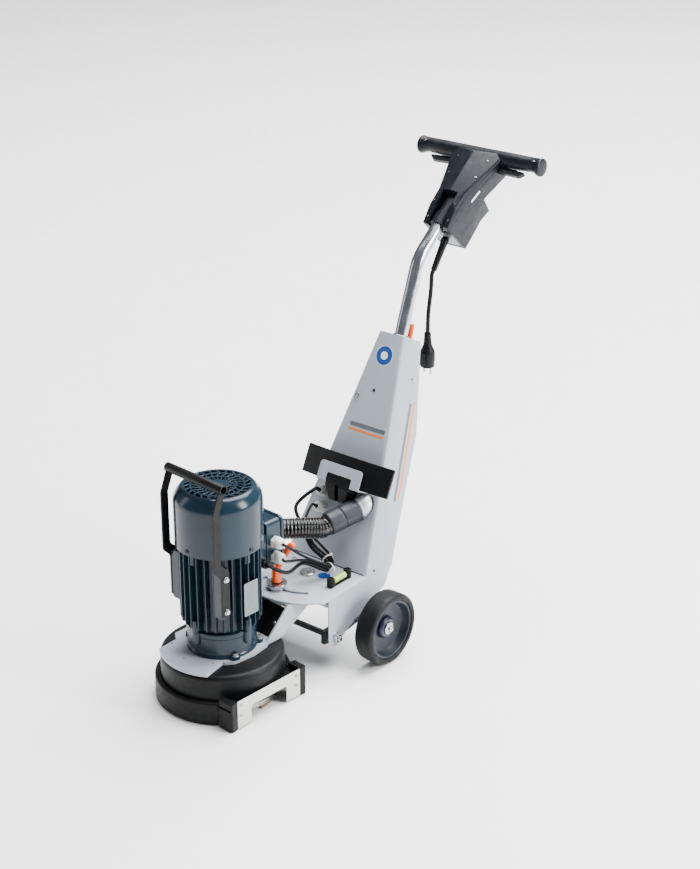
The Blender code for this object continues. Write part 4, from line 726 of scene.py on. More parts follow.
# --------------------------------------------------------------- wheel frame
refined("wheel_frame", 0.0008)
for side, node in ((-1, "left_frame_bolt"), (1, "right_frame_bolt")):
    spot = place(MAIN, (side * SIDE_HALF_WIDTH, frame_spot.y - swivel_spot.y, frame_spot.z), (side, 0, 0))
    bolt = hex_head(node + "_nut", spot, 0.0200, 0.0090, 0.0124, 0.0060)
    bolt.modifiers.clear()
    shank = lathe("shank", [(0, -0.034), (0.0060, -0.034), (0.0060, 0.001), (0, 0.001)], 32, spot)
    show(soften(merged(bolt, [shank]), 0.0002, 1, 30.0, 30.0), "chassis", "zinc", [node])
axle_spot = Vector(JOINTS["right_wheel_turn"]["pos_m"])
axle_frame = place(Matrix.Identity(4), (0.0, axle_spot.y, axle_spot.z), (1, 0, 0))
END = 0.2110
axle_side = [(0, 0), (0.0100, 0), (0.0100, 0.1085), (0.0145, 0.1085), (0.0145, 0.158), (0.0100, 0.158),
             (0.0100, END - 0.0145), (0.0148, END - 0.0145), (0.0148, END - 0.0118), (0.0120, END - 0.0104),
             (0.0075, END - 0.0096), (0.0072, END - 0.0058), (0.0050, END - 0.0042), (0, END - 0.0040)]
axle_profile = [(r, -z) for r, z in reversed(axle_side[1:])] + axle_side[1:]
show(turned("axle_bar", axle_profile, 48, axle_frame, width=0.0003), "wheel_frame", "zinc", ["axle"])

WHEEL_RADIUS = 0.0875
RIM_RADIUS = 0.0722
for side, label in ((-1, "left"), (1, "right")):
    hub_spot = Vector(JOINTS[label + "_wheel_turn"]["pos_m"])
    wheel = Matrix.Translation(hub_spot) @ Matrix.Rotation(side * math.pi / 2, 4, "Y")
    half_profile = [(RIM_RADIUS, 0.0205), (0.0735, 0.0232), (0.0755, 0.0243), (0.0775, 0.0245),
                    (0.0782, 0.0238),
                    (0.0794, 0.0238), (0.0802, 0.0245), (0.0822, 0.0242), (0.0846, 0.0228), (0.0864, 0.0202),
                    (0.0872, 0.0170), (WHEEL_RADIUS, 0.0120), (WHEEL_RADIUS, 0.0)]
    tyre_profile = [(r, -z) for r, z in half_profile[:-1]] + list(reversed(half_profile))
    tyre = smooth(lathe(label + "_wheel_tyre", tyre_profile, 96, wheel, closed=True), 45.0)
    show(tyre, label + "_wheel", "tyre_rubber", [label + "_tyre"])
    rim_profile = [(0.0262, -0.0060), (0.0262, -0.0020), (0.0300, -0.0010), (0.0540, 0.0000),
                   (0.0600, 0.0030),
                   (0.0640, 0.0110), (0.0658, 0.0205), (0.0676, 0.0218), (RIM_RADIUS - GAP, 0.0208),
                   (RIM_RADIUS - GAP, -0.0205), (0.0676, -0.0215), (0.0660, -0.0205), (0.0640, -0.0150),
                   (0.0560, -0.0110), (0.0262, -0.0090)]
    show(turned(label + "_wheel_rim", rim_profile, 96, wheel, closed=True, width=0.0004, angle=30.0),
         label + "_wheel", "rim_plastic", [label + "_rim"])
    hub_profile = [(0.0104, -0.0215), (0.0220, -0.0215), (0.0240, -0.0195), (0.0264, -0.0060),
                   (0.0264, 0.0040),
                   (0.0240, 0.0078), (0.0220, 0.0094), (0.0104, 0.0096)]
    show(turned(label + "_wheel_hub", hub_profile, 64, wheel, closed=True, width=0.0004), label + "_wheel",
         "rim_plastic", look=HUB_LOOK)

# --------------------------------------------------------------- swivel head
PLATE_BOTTOM = 0.1158
PLATE_TOP = 0.1243
plate_outline = arc(0, 0, 0.1440, math.radians(-124.5), math.radians(-57.0), 40)
plate_outline += rounded([(0.0680, -0.0600), (0.0830, -0.0400), (0.0885, 0.0150), (0.0810, 0.0640),
                          (0.0750, 0.0700),
                          (0.0750, 0.1080), (0.0600, 0.1180), (-0.0600, 0.1180), (-0.0750, 0.1080),
                          (-0.0750, 0.0700), (-0.0900, 0.0500), (-0.1080, 0.0100), (-0.1080, -0.0480),
                          (-0.0880, -0.0620)], 0.006, 4)
arm_plate = prism("arm_bottom_plate", plate_outline, PLATE_BOTTOM, PLATE_TOP, MOTOR)
drills = [lathe("hole", [(0, 0.09), (0.0027, 0.09), (0.0027, 0.14), (0, 0.14)], 16,
                MOTOR @ Matrix.Translation((x, y, 0)))
          for x, y in ((-0.0780, -0.0835), (-0.0100, -0.1090), (0.0534, -0.0792))]
cut(arm_plate, drills)
show(soften(arm_plate, 0.0009, 2, 40.0, 30.0), "head", "grey_paint", ["arm_plate"])
deck_under = DECK_TOP - 0.0048
flange_view = [(-0.2080, PLATE_BOTTOM + 0.001), (-0.2080, PLATE_TOP + 0.001), (-0.1420, deck_under),
               (-0.0350, deck_under), (-0.0550, 0.1720), (-0.0800, 0.1630), (-0.1600, PLATE_BOTTOM + 0.001)]
flange_outline = rounded(flange_view, [0.001, 0.004, 0.012, 0.004, 0.010, 0.010, 0.001])
flanges = [prism("arm_flanges", flange_outline, x, x + 0.005, HEAD @ ALONG_X) for x in (0.0705, -0.0755)]
show(soften(merged(flanges[0], flanges[1:]), 0.0008, 2), "head", "grey_paint")
top_view = [(-0.0700, -0.1380), (0.0700, -0.1380), (0.0700, -0.0500), (0.0300, 0.0200), (0.0150, 0.0300),
            (-0.0150, 0.0300), (-0.0300, 0.0200), (-0.0700, -0.0500)]
show(soften(prism("arm_top_plate", rounded(top_view, 0.006), 0.1810, deck_under - 0.0002, HEAD), 0.0006),
     "head",
     "grey_paint")
refined("arm_cover", 0.0008)
screws("arm_cover_screws", [place(HEAD, (x, -0.1672, 0.1498), (0, -0.707, 0.707)) for x in (-0.006, 0.058)],
       0.0040,
       0.0024, "head", "zinc")

HOOD_RADIUS = 0.1422
HOOD_TOP = 0.1154
PORT_SPOT = Vector((-0.0460, 0.1085, 0.0))
hood_profile = [(0.0320, HOOD_TOP - 0.003), (HOOD_RADIUS - 0.012, HOOD_TOP - 0.003),
                (HOOD_RADIUS - 0.0065, HOOD_TOP - 0.005), (HOOD_RADIUS - 0.003, HOOD_TOP - 0.012),
                (HOOD_RADIUS - 0.003, 0.034), (HOOD_RADIUS, 0.034), (HOOD_RADIUS, HOOD_TOP - 0.0130)]
hood_profile += [(HOOD_RADIUS - 0.0130 * (1 - math.cos(a)), HOOD_TOP - 0.0130 * (1 - math.sin(a)))
                 for a in (math.radians(t) for t in (15, 30, 45, 60, 75, 90))]
hood_profile += [(0.0320, HOOD_TOP)]
show(turned("dust_hood_bell", hood_profile, 128, MOTOR, closed=True, width=0.0005), "head", "black_paint",
     ["dust_hood"])
port = MOTOR @ Matrix.Translation(PORT_SPOT)
show(turned("suction_spigot", [(0.0170, HOOD_TOP - 0.002), (0.0195, HOOD_TOP - 0.002), (0.0195, 0.1490),
                               (0.0188, 0.1500), (0.0170, 0.1500)], 48, port, closed=True, width=0.0), "head",
     "black_paint")

# motor: end shield, finned housing, fan cover
MOTOR_LOW = 0.186
bell_profile = [(0.0280, PLATE_TOP + GAP), (0.0790, PLATE_TOP + GAP), (0.0815, PLATE_TOP + 0.0014),
                (0.0815, PLATE_TOP + 0.0060), (0.0795, PLATE_TOP + 0.0080), (0.0785, PLATE_TOP + 0.0120),
                (0.0785, 0.1720), (0.0800, 0.1740), (0.0800, MOTOR_LOW - 0.0030), (0.0790, MOTOR_LOW - GAP),
                (0.0150, MOTOR_LOW - GAP), (0.0150, 0.170), (0.0280, 0.165)]
bell = turned("motor_end_shield", bell_profile, 96, MOTOR, closed=True, width=0.0006)
ears = []
EAR_ANGLES = (2.0, 92.0, 182.0, 272.0)
FOOT_ANGLES = (199.0, -23.0, 46.0, 135.0)
for angle in EAR_ANGLES:
    turn = MOTOR @ Matrix.Rotation(math.radians(angle), 4, "Z")
    ear = rounded([(0.066, -0.0105), (0.0885, -0.0105), (0.0885, 0.0105), (0.066, 0.0105)],
                  [0, 0.009, 0.009, 0], 6)
    ears.append(prism("ear", ear, 0.158, 0.1857, turn))
for angle in FOOT_ANGLES:
    turn = MOTOR @ Matrix.Rotation(math.radians(angle), 4, "Z")
    lug = rounded([(0.072, -0.0115), (0.0925, -0.0115), (0.0925, 0.0115), (0.072, 0.0115)],
                  [0, 0.010, 0.010, 0], 6)
    ears.append(prism("lug", lug, PLATE_TOP + GAP, PLATE_TOP + 0.0085, turn))
bell.modifiers.clear()
show(soften(merged(bell, ears), 0.0007, 2), "head", "motor_paint", ["end_bell"])
foot_bolts = [MOTOR @ Matrix.Rotation(math.radians(a), 4, "Z") @ Matrix.Translation((0.0835, 0,
                                                                                     PLATE_TOP + 0.0085))
              for a in FOOT_ANGLES]
screws("foot_bolts", foot_bolts, 0.0066, 0.0050, "head", "zinc", hexagon=True)
ear_bolts = [MOTOR @ Matrix.Rotation(math.radians(a), 4, "Z") @ Matrix.Translation((0.0800, 0, 0.158))
             @ Matrix.Rotation(math.pi, 4, "X") for a in EAR_ANGLES]
screws("ear_bolts", ear_bolts, 0.0050, 0.0045, "head", "motor_paint", hexagon=True)

COVER_BOTTOM = 0.3828
COVER_TOP = 0.5201
COVER_RADIUS = 0.0992
FIN_COUNT = 28
CORE = 0.0715
FIN = 0.0925


def fin_outline(tip, root):
    """Outline of the finned shell with rounded fin tips."""
    outline = []
    for k in range(FIN_COUNT):
        centre = 2 * math.pi * k / FIN_COUNT
        for offset, radius in ((-0.0028, root), (-0.0021, root + 0.0006), (-0.0015, tip - 0.0009),
                               (-0.0008, tip),
                               (0.0008, tip), (0.0015, tip - 0.0009), (0.0021, root + 0.0006),
                               (0.0028, root)):
            angle = centre + offset / radius
            outline.append((radius * math.cos(angle), radius * math.sin(angle)))
    return outline


levels = ((MOTOR_LOW, CORE + 0.0020), (MOTOR_LOW + 0.0040, CORE + 0.0022), (MOTOR_LOW + 0.0120, FIN - 0.0008),
          (MOTOR_LOW + 0.0160, FIN), (COVER_BOTTOM - 0.0040, FIN), (COVER_BOTTOM + 0.0050, FIN - 0.0010))
fin_verts = []
for z, tip in levels:
    fin_verts += [(x, y, z) for x, y in fin_outline(tip, CORE)]
ring_count = FIN_COUNT * 8
fin_faces = [tuple(range(ring_count)), tuple(range((len(levels) - 1) * ring_count, len(levels) * ring_count))]
for s in range(len(levels) - 1):
    for i in range(ring_count):
        j = (i + 1) % ring_count
        fin_faces.append((s * ring_count + i, s * ring_count + j, (s + 1) * ring_count + j,
                          (s + 1) * ring_count + i))
housing = mesh_object("motor_finned_housing", fin_verts, fin_faces, MOTOR)
pads = []
for low_x, high_x in ((0.050, 0.0795), (-0.0795, -0.050)):
    pads.append(box("pad", (low_x, -0.072, 0.2400), (high_x, -0.048, 0.3600), MOTOR))
pads.append(box("box_pad", (-0.0455, 0.060, 0.2950), (0.0455, 0.0996, 0.3750), MOTOR))
for angle in EAR_ANGLES:
    turn = MOTOR @ Matrix.Rotation(math.radians(angle), 4, "Z")
    boss = rounded([(0.070, -0.0085), (0.0900, -0.0085), (0.0900, 0.0085), (0.070, 0.0085)],
                   [0, 0.007, 0.007, 0], 5)
    pads.append(prism("boss", boss, MOTOR_LOW + 0.0002, 0.2160, turn))
    pads.append(prism("boss", boss, 0.3560, COVER_BOTTOM + 0.003, turn))
show(soften(merged(housing, pads), 0.0004, 1, 40.0, 35.0), "head", "motor_paint", ["motor_housing"])

SLOT_RINGS = ((0.0255, 0.0400), (0.0440, 0.0575), (0.0615, 0.0735))
SPOKES = 144
LEAN = 2 * math.pi / SPOKES * 2.6
radii = [0.0235]
leans = [0.0]
open_bands = set()
level = 0.0
for low, high in SLOT_RINGS:
    target = LEAN - level
    for share in (0.0, 0.5, 1.0):
        radii.append(low + (high - low) * share)
        leans.append(level + (target - level) * share)
        if share < 1.0:
            open_bands.add(len(radii) - 1)
    level = target
radii.append(0.0782)
leans.append(level)
grille_verts = [(0.0, 0.0, COVER_TOP)]
for radius, lean in zip(radii, leans):
    for k in range(SPOKES):
        angle = 2 * math.pi * k / SPOKES + lean
        grille_verts.append((radius * math.cos(angle), radius * math.sin(angle), COVER_TOP))
grille_faces = [(0, 1 + k, 1 + (k + 1) % SPOKES) for k in range(SPOKES)]
for band in range(len(radii) - 1):
    for k in range(SPOKES):
        if band in open_bands and k % 6 < 4:
            continue
        n = (k + 1) % SPOKES
        a, b = 1 + band * SPOKES, 1 + (band + 1) * SPOKES
        grille_faces.append((a + k, a + n, b + n, b + k))
grille = mesh_object("fan_cover_grille", grille_verts, grille_faces, MOTOR)
for polygon in grille.data.polygons:
    if polygon.normal.z < 0:
        polygon.flip()
thicken = grille.modifiers.new("sheet", "SOLIDIFY")
thicken.thickness = 0.0018
thicken.offset = -1.0
rim_edge = grille.modifiers.new("edge", "BEVEL")
rim_edge.width = 0.0004
rim_edge.segments = 2
rim_edge.limit_method = "ANGLE"
rim_edge.angle_limit = math.radians(50.0)
show(grille, "head", "motor_paint")
cover_profile = [(COVER_RADIUS - 0.0018, COVER_BOTTOM), (COVER_RADIUS, COVER_BOTTOM), (COVER_RADIUS, 0.4860),
                 (COVER_RADIUS - 0.0004, 0.4920), (COVER_RADIUS - 0.0020, 0.4985),
                 (COVER_RADIUS - 0.0052, 0.5050),
                 (0.0895, 0.5112), (0.0862, 0.5150), (0.0836, 0.5178), (0.0806, 0.5194),
                 (0.0772, COVER_TOP - 0.0003),
                 (0.0770, COVER_TOP - 0.0020), (0.0800, 0.5176), (0.0880, 0.5100),
                 (COVER_RADIUS - 0.0075, 0.5040),
                 (COVER_RADIUS - 0.0040, 0.4970), (COVER_RADIUS - 0.0018, 0.4880)]
show(turned("fan_cover_shell", cover_profile, 112, MOTOR, closed=True, width=0.0), "head", "motor_paint",
     ["fan_cover"])
cover_spots = [place(MOTOR @ Matrix.Rotation(math.radians(a), 4, "Z"), (COVER_RADIUS - 0.0002, 0, 0.3930),
                     (1, 0, 0))
               for a in (2.0, 92.0, 182.0, -88.0)]
screws("fan_cover_screws", cover_spots, 0.0050, 0.0028, "head", "motor_paint")
refined("cooling_fan", 0.0004)
refined("motor_shaft", 0.0004)

# terminal box with its lid
box_outline = rounded([(-0.0520, 0.2850), (0.0480, 0.2850), (0.0480, 0.4020), (-0.0520, 0.4020)], 0.012, 6)
terminal_body = prism("terminal_box_body", box_outline, -0.1438, -0.1000, MOTOR @ ALONG_Y)
show(soften(terminal_body, 0.0018, 3), "head", "motor_paint", ["terminal_box"])
lid_outline = rounded([(-0.0540, 0.2830), (0.0500, 0.2830), (0.0500, 0.4040), (-0.0540, 0.4040)], 0.014, 6)
show(soften(prism("terminal_box_lid", lid_outline, -0.1536, -0.1444, MOTOR @ ALONG_Y), 0.0025, 3), "head",
     "motor_paint", ["terminal_lid"])
lid_spots = [place(MOTOR, (x, 0.1534, z), (0, 1, 0)) for x in (-0.0440, 0.0400) for z in (0.2930, 0.3940)]
screws("lid_screws", lid_spots, 0.0042, 0.0024, "head", "zinc")

plate_view = rounded([(-0.0160, 0.2300), (0.0260, 0.2300), (0.0260, 0.3120), (-0.0160, 0.3120)], 0.003, 5)
show(soften(prism("blank_rating_plate", plate_view, 0.0930, 0.0939, MOTOR @ ALONG_X), 0.0002, 1), "head",
     "stainless", ["rating_plate"], look=PLATE_LOOK)
screws("plate_rivets", [place(MOTOR, (0.0939, 0.005, z), (1, 0, 0)) for z in (0.2345, 0.3075)], 0.0020,
       0.0010,
       "head", "zinc")

# lift handle
HANDLE_AXIS = (-0.0640, 0.5555)
tube_half = [(0.0085, -0.0900), (0.0104, -0.0900), (0.0108, -0.0894), (0.0108, 0.0894), (0.0104, 0.0900),
             (0.0085, 0.0900)]
show(turned("lift_handle_tube", tube_half, 48, place(MOTOR, (0, *HANDLE_AXIS), (1, 0, 0)), closed=True,
            width=0.0),
     "head", "black_paint", ["lift_handle"])
leg_view = [(-0.0740, 0.5520), (-0.0930, 0.5040), (-0.0930, 0.3640), (-0.0730, 0.3440), (-0.0730, 0.2450),
            (-0.0500, 0.2450), (-0.0500, 0.3560), (-0.0730, 0.3760), (-0.0730, 0.5040), (-0.0540, 0.5480)]
leg_outline = rounded(leg_view, [0.001, 0.020, 0.014, 0.014, 0.005, 0.005, 0.014, 0.014, 0.020, 0.001], 6)
legs = [prism("lift_handle_legs", leg_outline, x, x + 0.005, MOTOR @ ALONG_X) for x in (0.0800, -0.0850)]
show(soften(merged(legs[0], legs[1:]), 0.0009, 2), "head", "black_paint")
leg_bolts = [place(MOTOR, (side * 0.0850, -0.0610, z), (side, 0, 0)) for side in (-1, 1) for z in (0.3380,
                                                                                                   0.2580)]
screws("lift_handle_bolts", leg_bolts, 0.0055, 0.0034, "head", "zinc", hexagon=True)

# swivel clamp
clamp_frame = HEAD @ Matrix.Translation((0, -0.102, 0))
show(turned("clamp_collar", [(0.0047, DECK_TOP + GAP), (0.0192, DECK_TOP + GAP), (0.0196, DECK_TOP + 0.0008),
                             (0.0196, DECK_TOP + 0.0106), (0.0242, DECK_TOP + 0.0112),
                             (0.0248, DECK_TOP + 0.0120),
                             (0.0248, DECK_TOP + 0.0152), (0.0242, DECK_TOP + 0.0160),
                             (0.0047, DECK_TOP + 0.0160)],
            64, clamp_frame, closed=True, width=0.0), "head", "zinc", ["swivel_clamp_washer"])


def lever(name, body, node, hub_frame, hub_height, arm, radii_list, stud):
    """Clamping lever: hub, swelling arm and a dark washer below."""
    hub_profile = [(0, 0.0), (0.0112, 0.0), (0.0120, 0.0012), (0.0122, 0.0060), (0.0118, 0.0110),
                   (0.0114, hub_height * 0.45), (0.0112, hub_height - 0.0080), (0.0100, hub_height - 0.0030),
                   (0.0070, hub_height - 0.0006), (0.0040, hub_height), (0, hub_height)]
    hub = lathe(name, hub_profile, 40, hub_frame)
    path = curve_points(arm, 8)
    spread = []
    for i in range(len(path)):
        t = i / (len(path) - 1) * (len(radii_list) - 1)
        k = min(int(t), len(radii_list) - 2)
        spread.append(radii_list[k] + (radii_list[k + 1] - radii_list[k]) * (t - k))
    last = path[-1] - path[-2]
    for share, grow in ((0.35, 0.90), (0.60, 0.66), (0.75, 0.30)):
        path.append(path[-1] + last.normalized() * spread[-1] * 0.28)
        spread.append(radii_list[-1] * grow)
    arm_part = sweep("arm", path, spread, 28, hub_frame)
    show(smooth(merged(hub, [arm_part]), 50.0), body, "orange_plastic", [node])
    stud_part = turned(name + "_stud", [(0, -stud), (0.0038, -stud), (0.0042, -stud + 0.0006),
                                        (0.0042, 0.001),
                                        (0, 0.001)], 24, hub_frame, width=0.0)
    show(stud_part, body, "zinc")
    collar = turned(name + "_ring", [(0.0050, -0.0008), (0.0128, -0.0008), (0.0128, 0.0010),
                                     (0.0050, 0.0010)], 40,
                    hub_frame, closed=True, width=0.0)
    show(collar, body, "black_rubber")


swivel_lever_frame = HEAD @ Matrix.Translation((0.0, -0.102, DECK_TOP + 0.0170))
swivel_turn = Matrix.Rotation(math.radians(25.0), 4, "Z")
swivel_arm = [swivel_turn @ Vector(p) for p in ((0.001, 0, 0.034), (0.009, 0, 0.050), (0.021, 0, 0.073),
                                                (0.033, 0, 0.094), (0.041, 0, 0.101))]
lever("swivel_lever_body", "swivel_lever", "swivel_clamp_lever", swivel_lever_frame, 0.0440, swivel_arm,
      [0.0085, 0.0080, 0.0075, 0.0086, 0.0080], 0.0300)
tube_lever_frame = TUBE @ Matrix.Translation((0, -0.222, -0.0311)) @ Matrix.Rotation(math.pi, 4, "X")
lever("tube_lever_body", "tube_lever", "tube_clamp_lever", tube_lever_frame, 0.0170,
      [(0.0, -0.002, 0.0070), (0.0, -0.018, 0.0085), (0.0, -0.044, 0.0080), (0.0, -0.063, 0.0067)],
      [0.0062, 0.0060, 0.0064, 0.0056], 0.0120)

# -------------------------------------------------------------- grinding disc
disc_profile = [(0, 0.0120), (0.0985, 0.0120), (0.1000, 0.0100), (0.1240, 0.0085), (0.1247, 0.0095),
                (0.1247, 0.0222), (0.1235, 0.0232), (0.1180, 0.0258), (0.0300, 0.0260), (0.0300, 0.0510),
                (0, 0.0510)]
show(turned("grinding_disc_plate", disc_profile, 120, MOTOR, width=0.0003), "spindle", "steel",
     ["grinding_disc"])
segment_parts = []
for k in range(12):
    turn = MOTOR @ Matrix.Rotation(2 * math.pi * (k + 0.3) / 12, 4, "Z")
    half_angle = 0.0200 / 0.1235
    outline = arc(0, 0, 0.1242, -half_angle, half_angle, 8) + arc(0, 0, 0.0985, half_angle, -half_angle, 8)
    segment_parts.append(prism("grinding_segments", outline, 0.0, 0.0124, turn))
show(soften(merged(segment_parts[0], segment_parts[1:]), 0.0008, 2), "spindle", "segments")

# ------------------------------------------------------------- floating skirt
SKIRT_RADIUS = 0.156
SKIRT_HEIGHT = 0.056
WALL = 0.0045
EDGE_X = 0.150
block_x = 0.1060
block_y = math.sqrt(SKIRT_RADIUS ** 2 - block_x ** 2)
start = math.atan2(block_y, block_x)
opening = HOOD_RADIUS + 0.0012
section = [(SKIRT_RADIUS - WALL, 0.0022), (SKIRT_RADIUS - WALL + 0.0007, 0.0015),
           (SKIRT_RADIUS - 0.0008, 0.0015),
           (SKIRT_RADIUS, 0.0023), (SKIRT_RADIUS, SKIRT_HEIGHT - 0.0050),
           (SKIRT_RADIUS - 0.0006, SKIRT_HEIGHT - 0.0026),
           (SKIRT_RADIUS - 0.0022, SKIRT_HEIGHT - 0.0007), (SKIRT_RADIUS - 0.0046, SKIRT_HEIGHT),
           (opening + 0.0006, SKIRT_HEIGHT), (opening, SKIRT_HEIGHT - 0.0006),
           (opening, SKIRT_HEIGHT - 0.0040),
           (SKIRT_RADIUS - WALL, SKIRT_HEIGHT - 0.0040)]
steps = 110
skirt_verts = []
for k in range(steps + 1):
    angle = start + (2 * math.pi - 2 * start) * k / steps
    skirt_verts += [(r * math.cos(angle), r * math.sin(angle), z) for r, z in section]
size = len(section)
skirt_faces = [tuple(range(size)), tuple(range(steps * size, (steps + 1) * size))]
for k in range(steps):
    for i in range(size):
        j = (i + 1) % size
        skirt_faces.append((k * size + i, k * size + j, (k + 1) * size + j, (k + 1) * size + i))
skirt = mesh_object("skirt_wall", skirt_verts, skirt_faces, MOTOR)
inner_angle = math.acos(min(1.0, block_x / opening))
shelf = [(block_x, -block_y + 0.0015), (EDGE_X - 0.0030, -block_y + 0.004),
         (EDGE_X - 0.0030, block_y - 0.004),
         (block_x, block_y - 0.0015)]
shelf += arc(0, 0, opening, inner_angle, -inner_angle, 40)
shelf_part = prism("skirt_shelf", shelf, SKIRT_HEIGHT - 0.0040, SKIRT_HEIGHT, MOTOR)
show(soften(merged(skirt, [shelf_part]), 0.0003, 1, 50.0, 40.0), "skirt", "black_rubber", ["dust_skirt"])
refined("skirt_corner_front", 0.0022, 4, 40.0)
refined("skirt_corner_rear", 0.0022, 4, 40.0)
edge_view = [(-0.0975, 0.0030), (-0.0550, 0.0030), (-0.0550, 0.0450), (0.0550, 0.0450), (0.0550, 0.0030),
             (0.0975, 0.0030), (0.0975, 0.0720), (-0.0975, 0.0720)]
edge_outline = rounded(edge_view, [0.002, 0.002, 0.006, 0.006, 0.002, 0.002, 0.003, 0.003], 6)
show(soften(prism("edge_plate_sheet", edge_outline, EDGE_X - 0.0020, EDGE_X, MOTOR @ ALONG_X), 0.0003, 2),
     "skirt",
     "stainless", ["edge_plate"])
plate_spots = [place(MOTOR, (EDGE_X, y, z), (1, 0, 0)) for y in (-0.0860, 0.0860) for z in (0.0590, 0.0330)]
screws("edge_plate_screws", plate_spots, 0.0042, 0.0020, "skirt", "zinc")


# -------------------------------------------------------------- cable glands
def gland(name, body, node, spot, radius, cable_radius, nose, thread):
    """Hexagon, dome nut and thread around a cable."""
    hexagon = lathe(name, [(cable_radius + 0.0009, -thread), (radius * 0.52, -thread), (radius * 0.52, GAP),
                           (radius, GAP), (radius, nose * 0.22), (radius * 0.94, nose * 0.26),
                           (cable_radius + 0.0009, nose * 0.26)], 6, spot, closed=True)
    dome_profile = [(cable_radius + 0.0009, nose * 0.2), (radius * 0.86, nose * 0.28),
                    (radius * 0.88, nose * 0.34),
                    (radius * 0.88, nose * 0.62)]
    for step in range(1, 7):
        angle = math.radians(15.0 * step)
        dome_profile.append((radius * (0.56 + 0.32 * math.cos(angle)),
                             nose * (0.62 + 0.38 * math.sin(angle))))
    dome_profile += [(cable_radius + 0.0009, nose)]
    dome = lathe("dome", dome_profile, 40, spot, closed=True)
    show(soften(merged(hexagon, [dome]), 0.0004, 2, 25.0, 28.0), body, SLOT_OF[node], [node])


UPPER_GLAND = panel_point(-0.0610, 0.338)
LOWER_GLAND = panel_point(-0.0560, 0.303)
FOOT_GLAND = panel_point(-0.0560, 0.250)
for label, spot in (("upper", UPPER_GLAND), ("lower", LOWER_GLAND), ("foot", FOOT_GLAND)):
    gland("column_gland_" + label + "_nut", "chassis", "column_gland_" + label,
          place(MAIN, spot, PANEL_OUT), 0.0145,
          0.0046, 0.024, 0.010)
BOX_GLANDS = {"upper": Vector((0.0480, 0.1243, 0.3505)), "lower": Vector((0.0480, 0.1240, 0.3130))}
for label, spot in BOX_GLANDS.items():
    gland("motor_gland_" + label + "_nut", "head", "motor_gland_" + label, place(MOTOR, spot, (1, 0, 0)),
          0.0150,
          0.0035, 0.026, 0.0030)
POWER_SPOT = Vector((0.0455, 0.0862, 0.3090))
gland("power_gland_nut", "head", "power_gland", place(MOTOR, POWER_SPOT, (1, 0, 0)), 0.0110, 0.0048, 0.014,
      0.0030)

# ------------------------------------------------------------ suction line
suction_centre = panel_point(0.0545, 0.3304)
suction_axis = Vector((-0.3335, -0.9125, -0.2160)).normalized()
port_z = 0.345
port_y = 0.2100 + (port_z - 0.2725) / 1.777
port_axis = Vector((0.0, 0.871, -0.490))
pipe_knots = [suction_centre + suction_axis * 0.040, suction_centre + suction_axis * 0.014,
              suction_centre - suction_axis * 0.012, Vector((0.0480, 0.1840, 0.3380)),
              Vector((0.0, port_y, port_z)) - port_axis * 0.020,
              Vector((0.0, port_y, port_z)) + port_axis * 0.030]
show(smooth(sweep("suction_pipe_elbow", curve_points(pipe_knots, 10), 0.0255, 48, MAIN, 0.0236), 50.0),
     "chassis",
     "zinc", ["suction_pipe"], look=SATIN_LOOK)
show(smooth(sweep("suction_pipe_bead", [suction_centre + suction_axis * 0.0065,
                                        suction_centre + suction_axis * 0.0095],
                  0.0272, 48, MAIN, 0.0250)), "chassis", "zinc", look=SATIN_LOOK)
cuff_end = suction_centre + suction_axis * 0.0950
cuff_path = []
cuff_radii = []
for k in range(41):
    along = 0.0120 + 0.0830 * k / 40
    groove = 0.0016 * math.exp(-((along - 0.0580) / 0.0018) ** 2)
    end_round = 0.0012 if k in (0, 40) else 0.0
    cuff_path.append(suction_centre + suction_axis * along)
    cuff_radii.append(0.0282 - groove - end_round)
show(smooth(sweep("hose_cuff_sleeve", cuff_path, cuff_radii, 56, MAIN, 0.0262), 50.0), "chassis",
     "slate_rubber",
     ["hose_cuff"])
port_point = MAIN.inverted() @ MOTOR @ (PORT_SPOT + Vector((0, 0, 0.1500)))
hose_knots = [cuff_end + suction_axis * 0.0006, cuff_end + suction_axis * 0.020, (-0.0220, -0.0220, 0.3120),
              (-0.0620, -0.0560, 0.3060), (-0.0950, -0.1000, 0.2800), port_point + Vector((-0.0240, 0.0040,
                                                                                           0.0880)),
              port_point + Vector((-0.0020, -0.0010, 0.0350)), port_point + Vector((0, 0, 0.0010))]
RIB_PITCH = 0.0070
PER_RIB = 8
hose_path = even_path(curve_points(hose_knots, 16), RIB_PITCH / PER_RIB)
hose_radii = []
for k in range(len(hose_path)):
    wave = 0.5 + 0.5 * math.cos(2 * math.pi * k / PER_RIB)
    hose_radii.append(0.0234 + 0.0019 * wave)
hose = smooth(sweep("suction_hose_corrugated", hose_path, hose_radii, 48, MAIN, 0.0200), 60.0)
show(hose, None, "black_rubber", ["suction_hose"], look=HOSE_LOOK)
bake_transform(hose)

# -------------------------------------------------------------------- cables
BUNDLE = [Vector((0.0310, -0.0500, 0.2500)), Vector((0.0500, 0.0100, 0.2130)),
          Vector((0.0200, 0.0440, 0.2140))]
RISE = [Vector((-0.0180, 0.0340, 0.2450)), Vector((-0.0480, 0.0400, 0.2860))]
STACK = Vector((0.53, 0.32, 0.79)).normalized()


def head_spot(point):
    """A point of the head in the chassis frame."""
    return MAIN.inverted() @ MOTOR @ Vector(point)


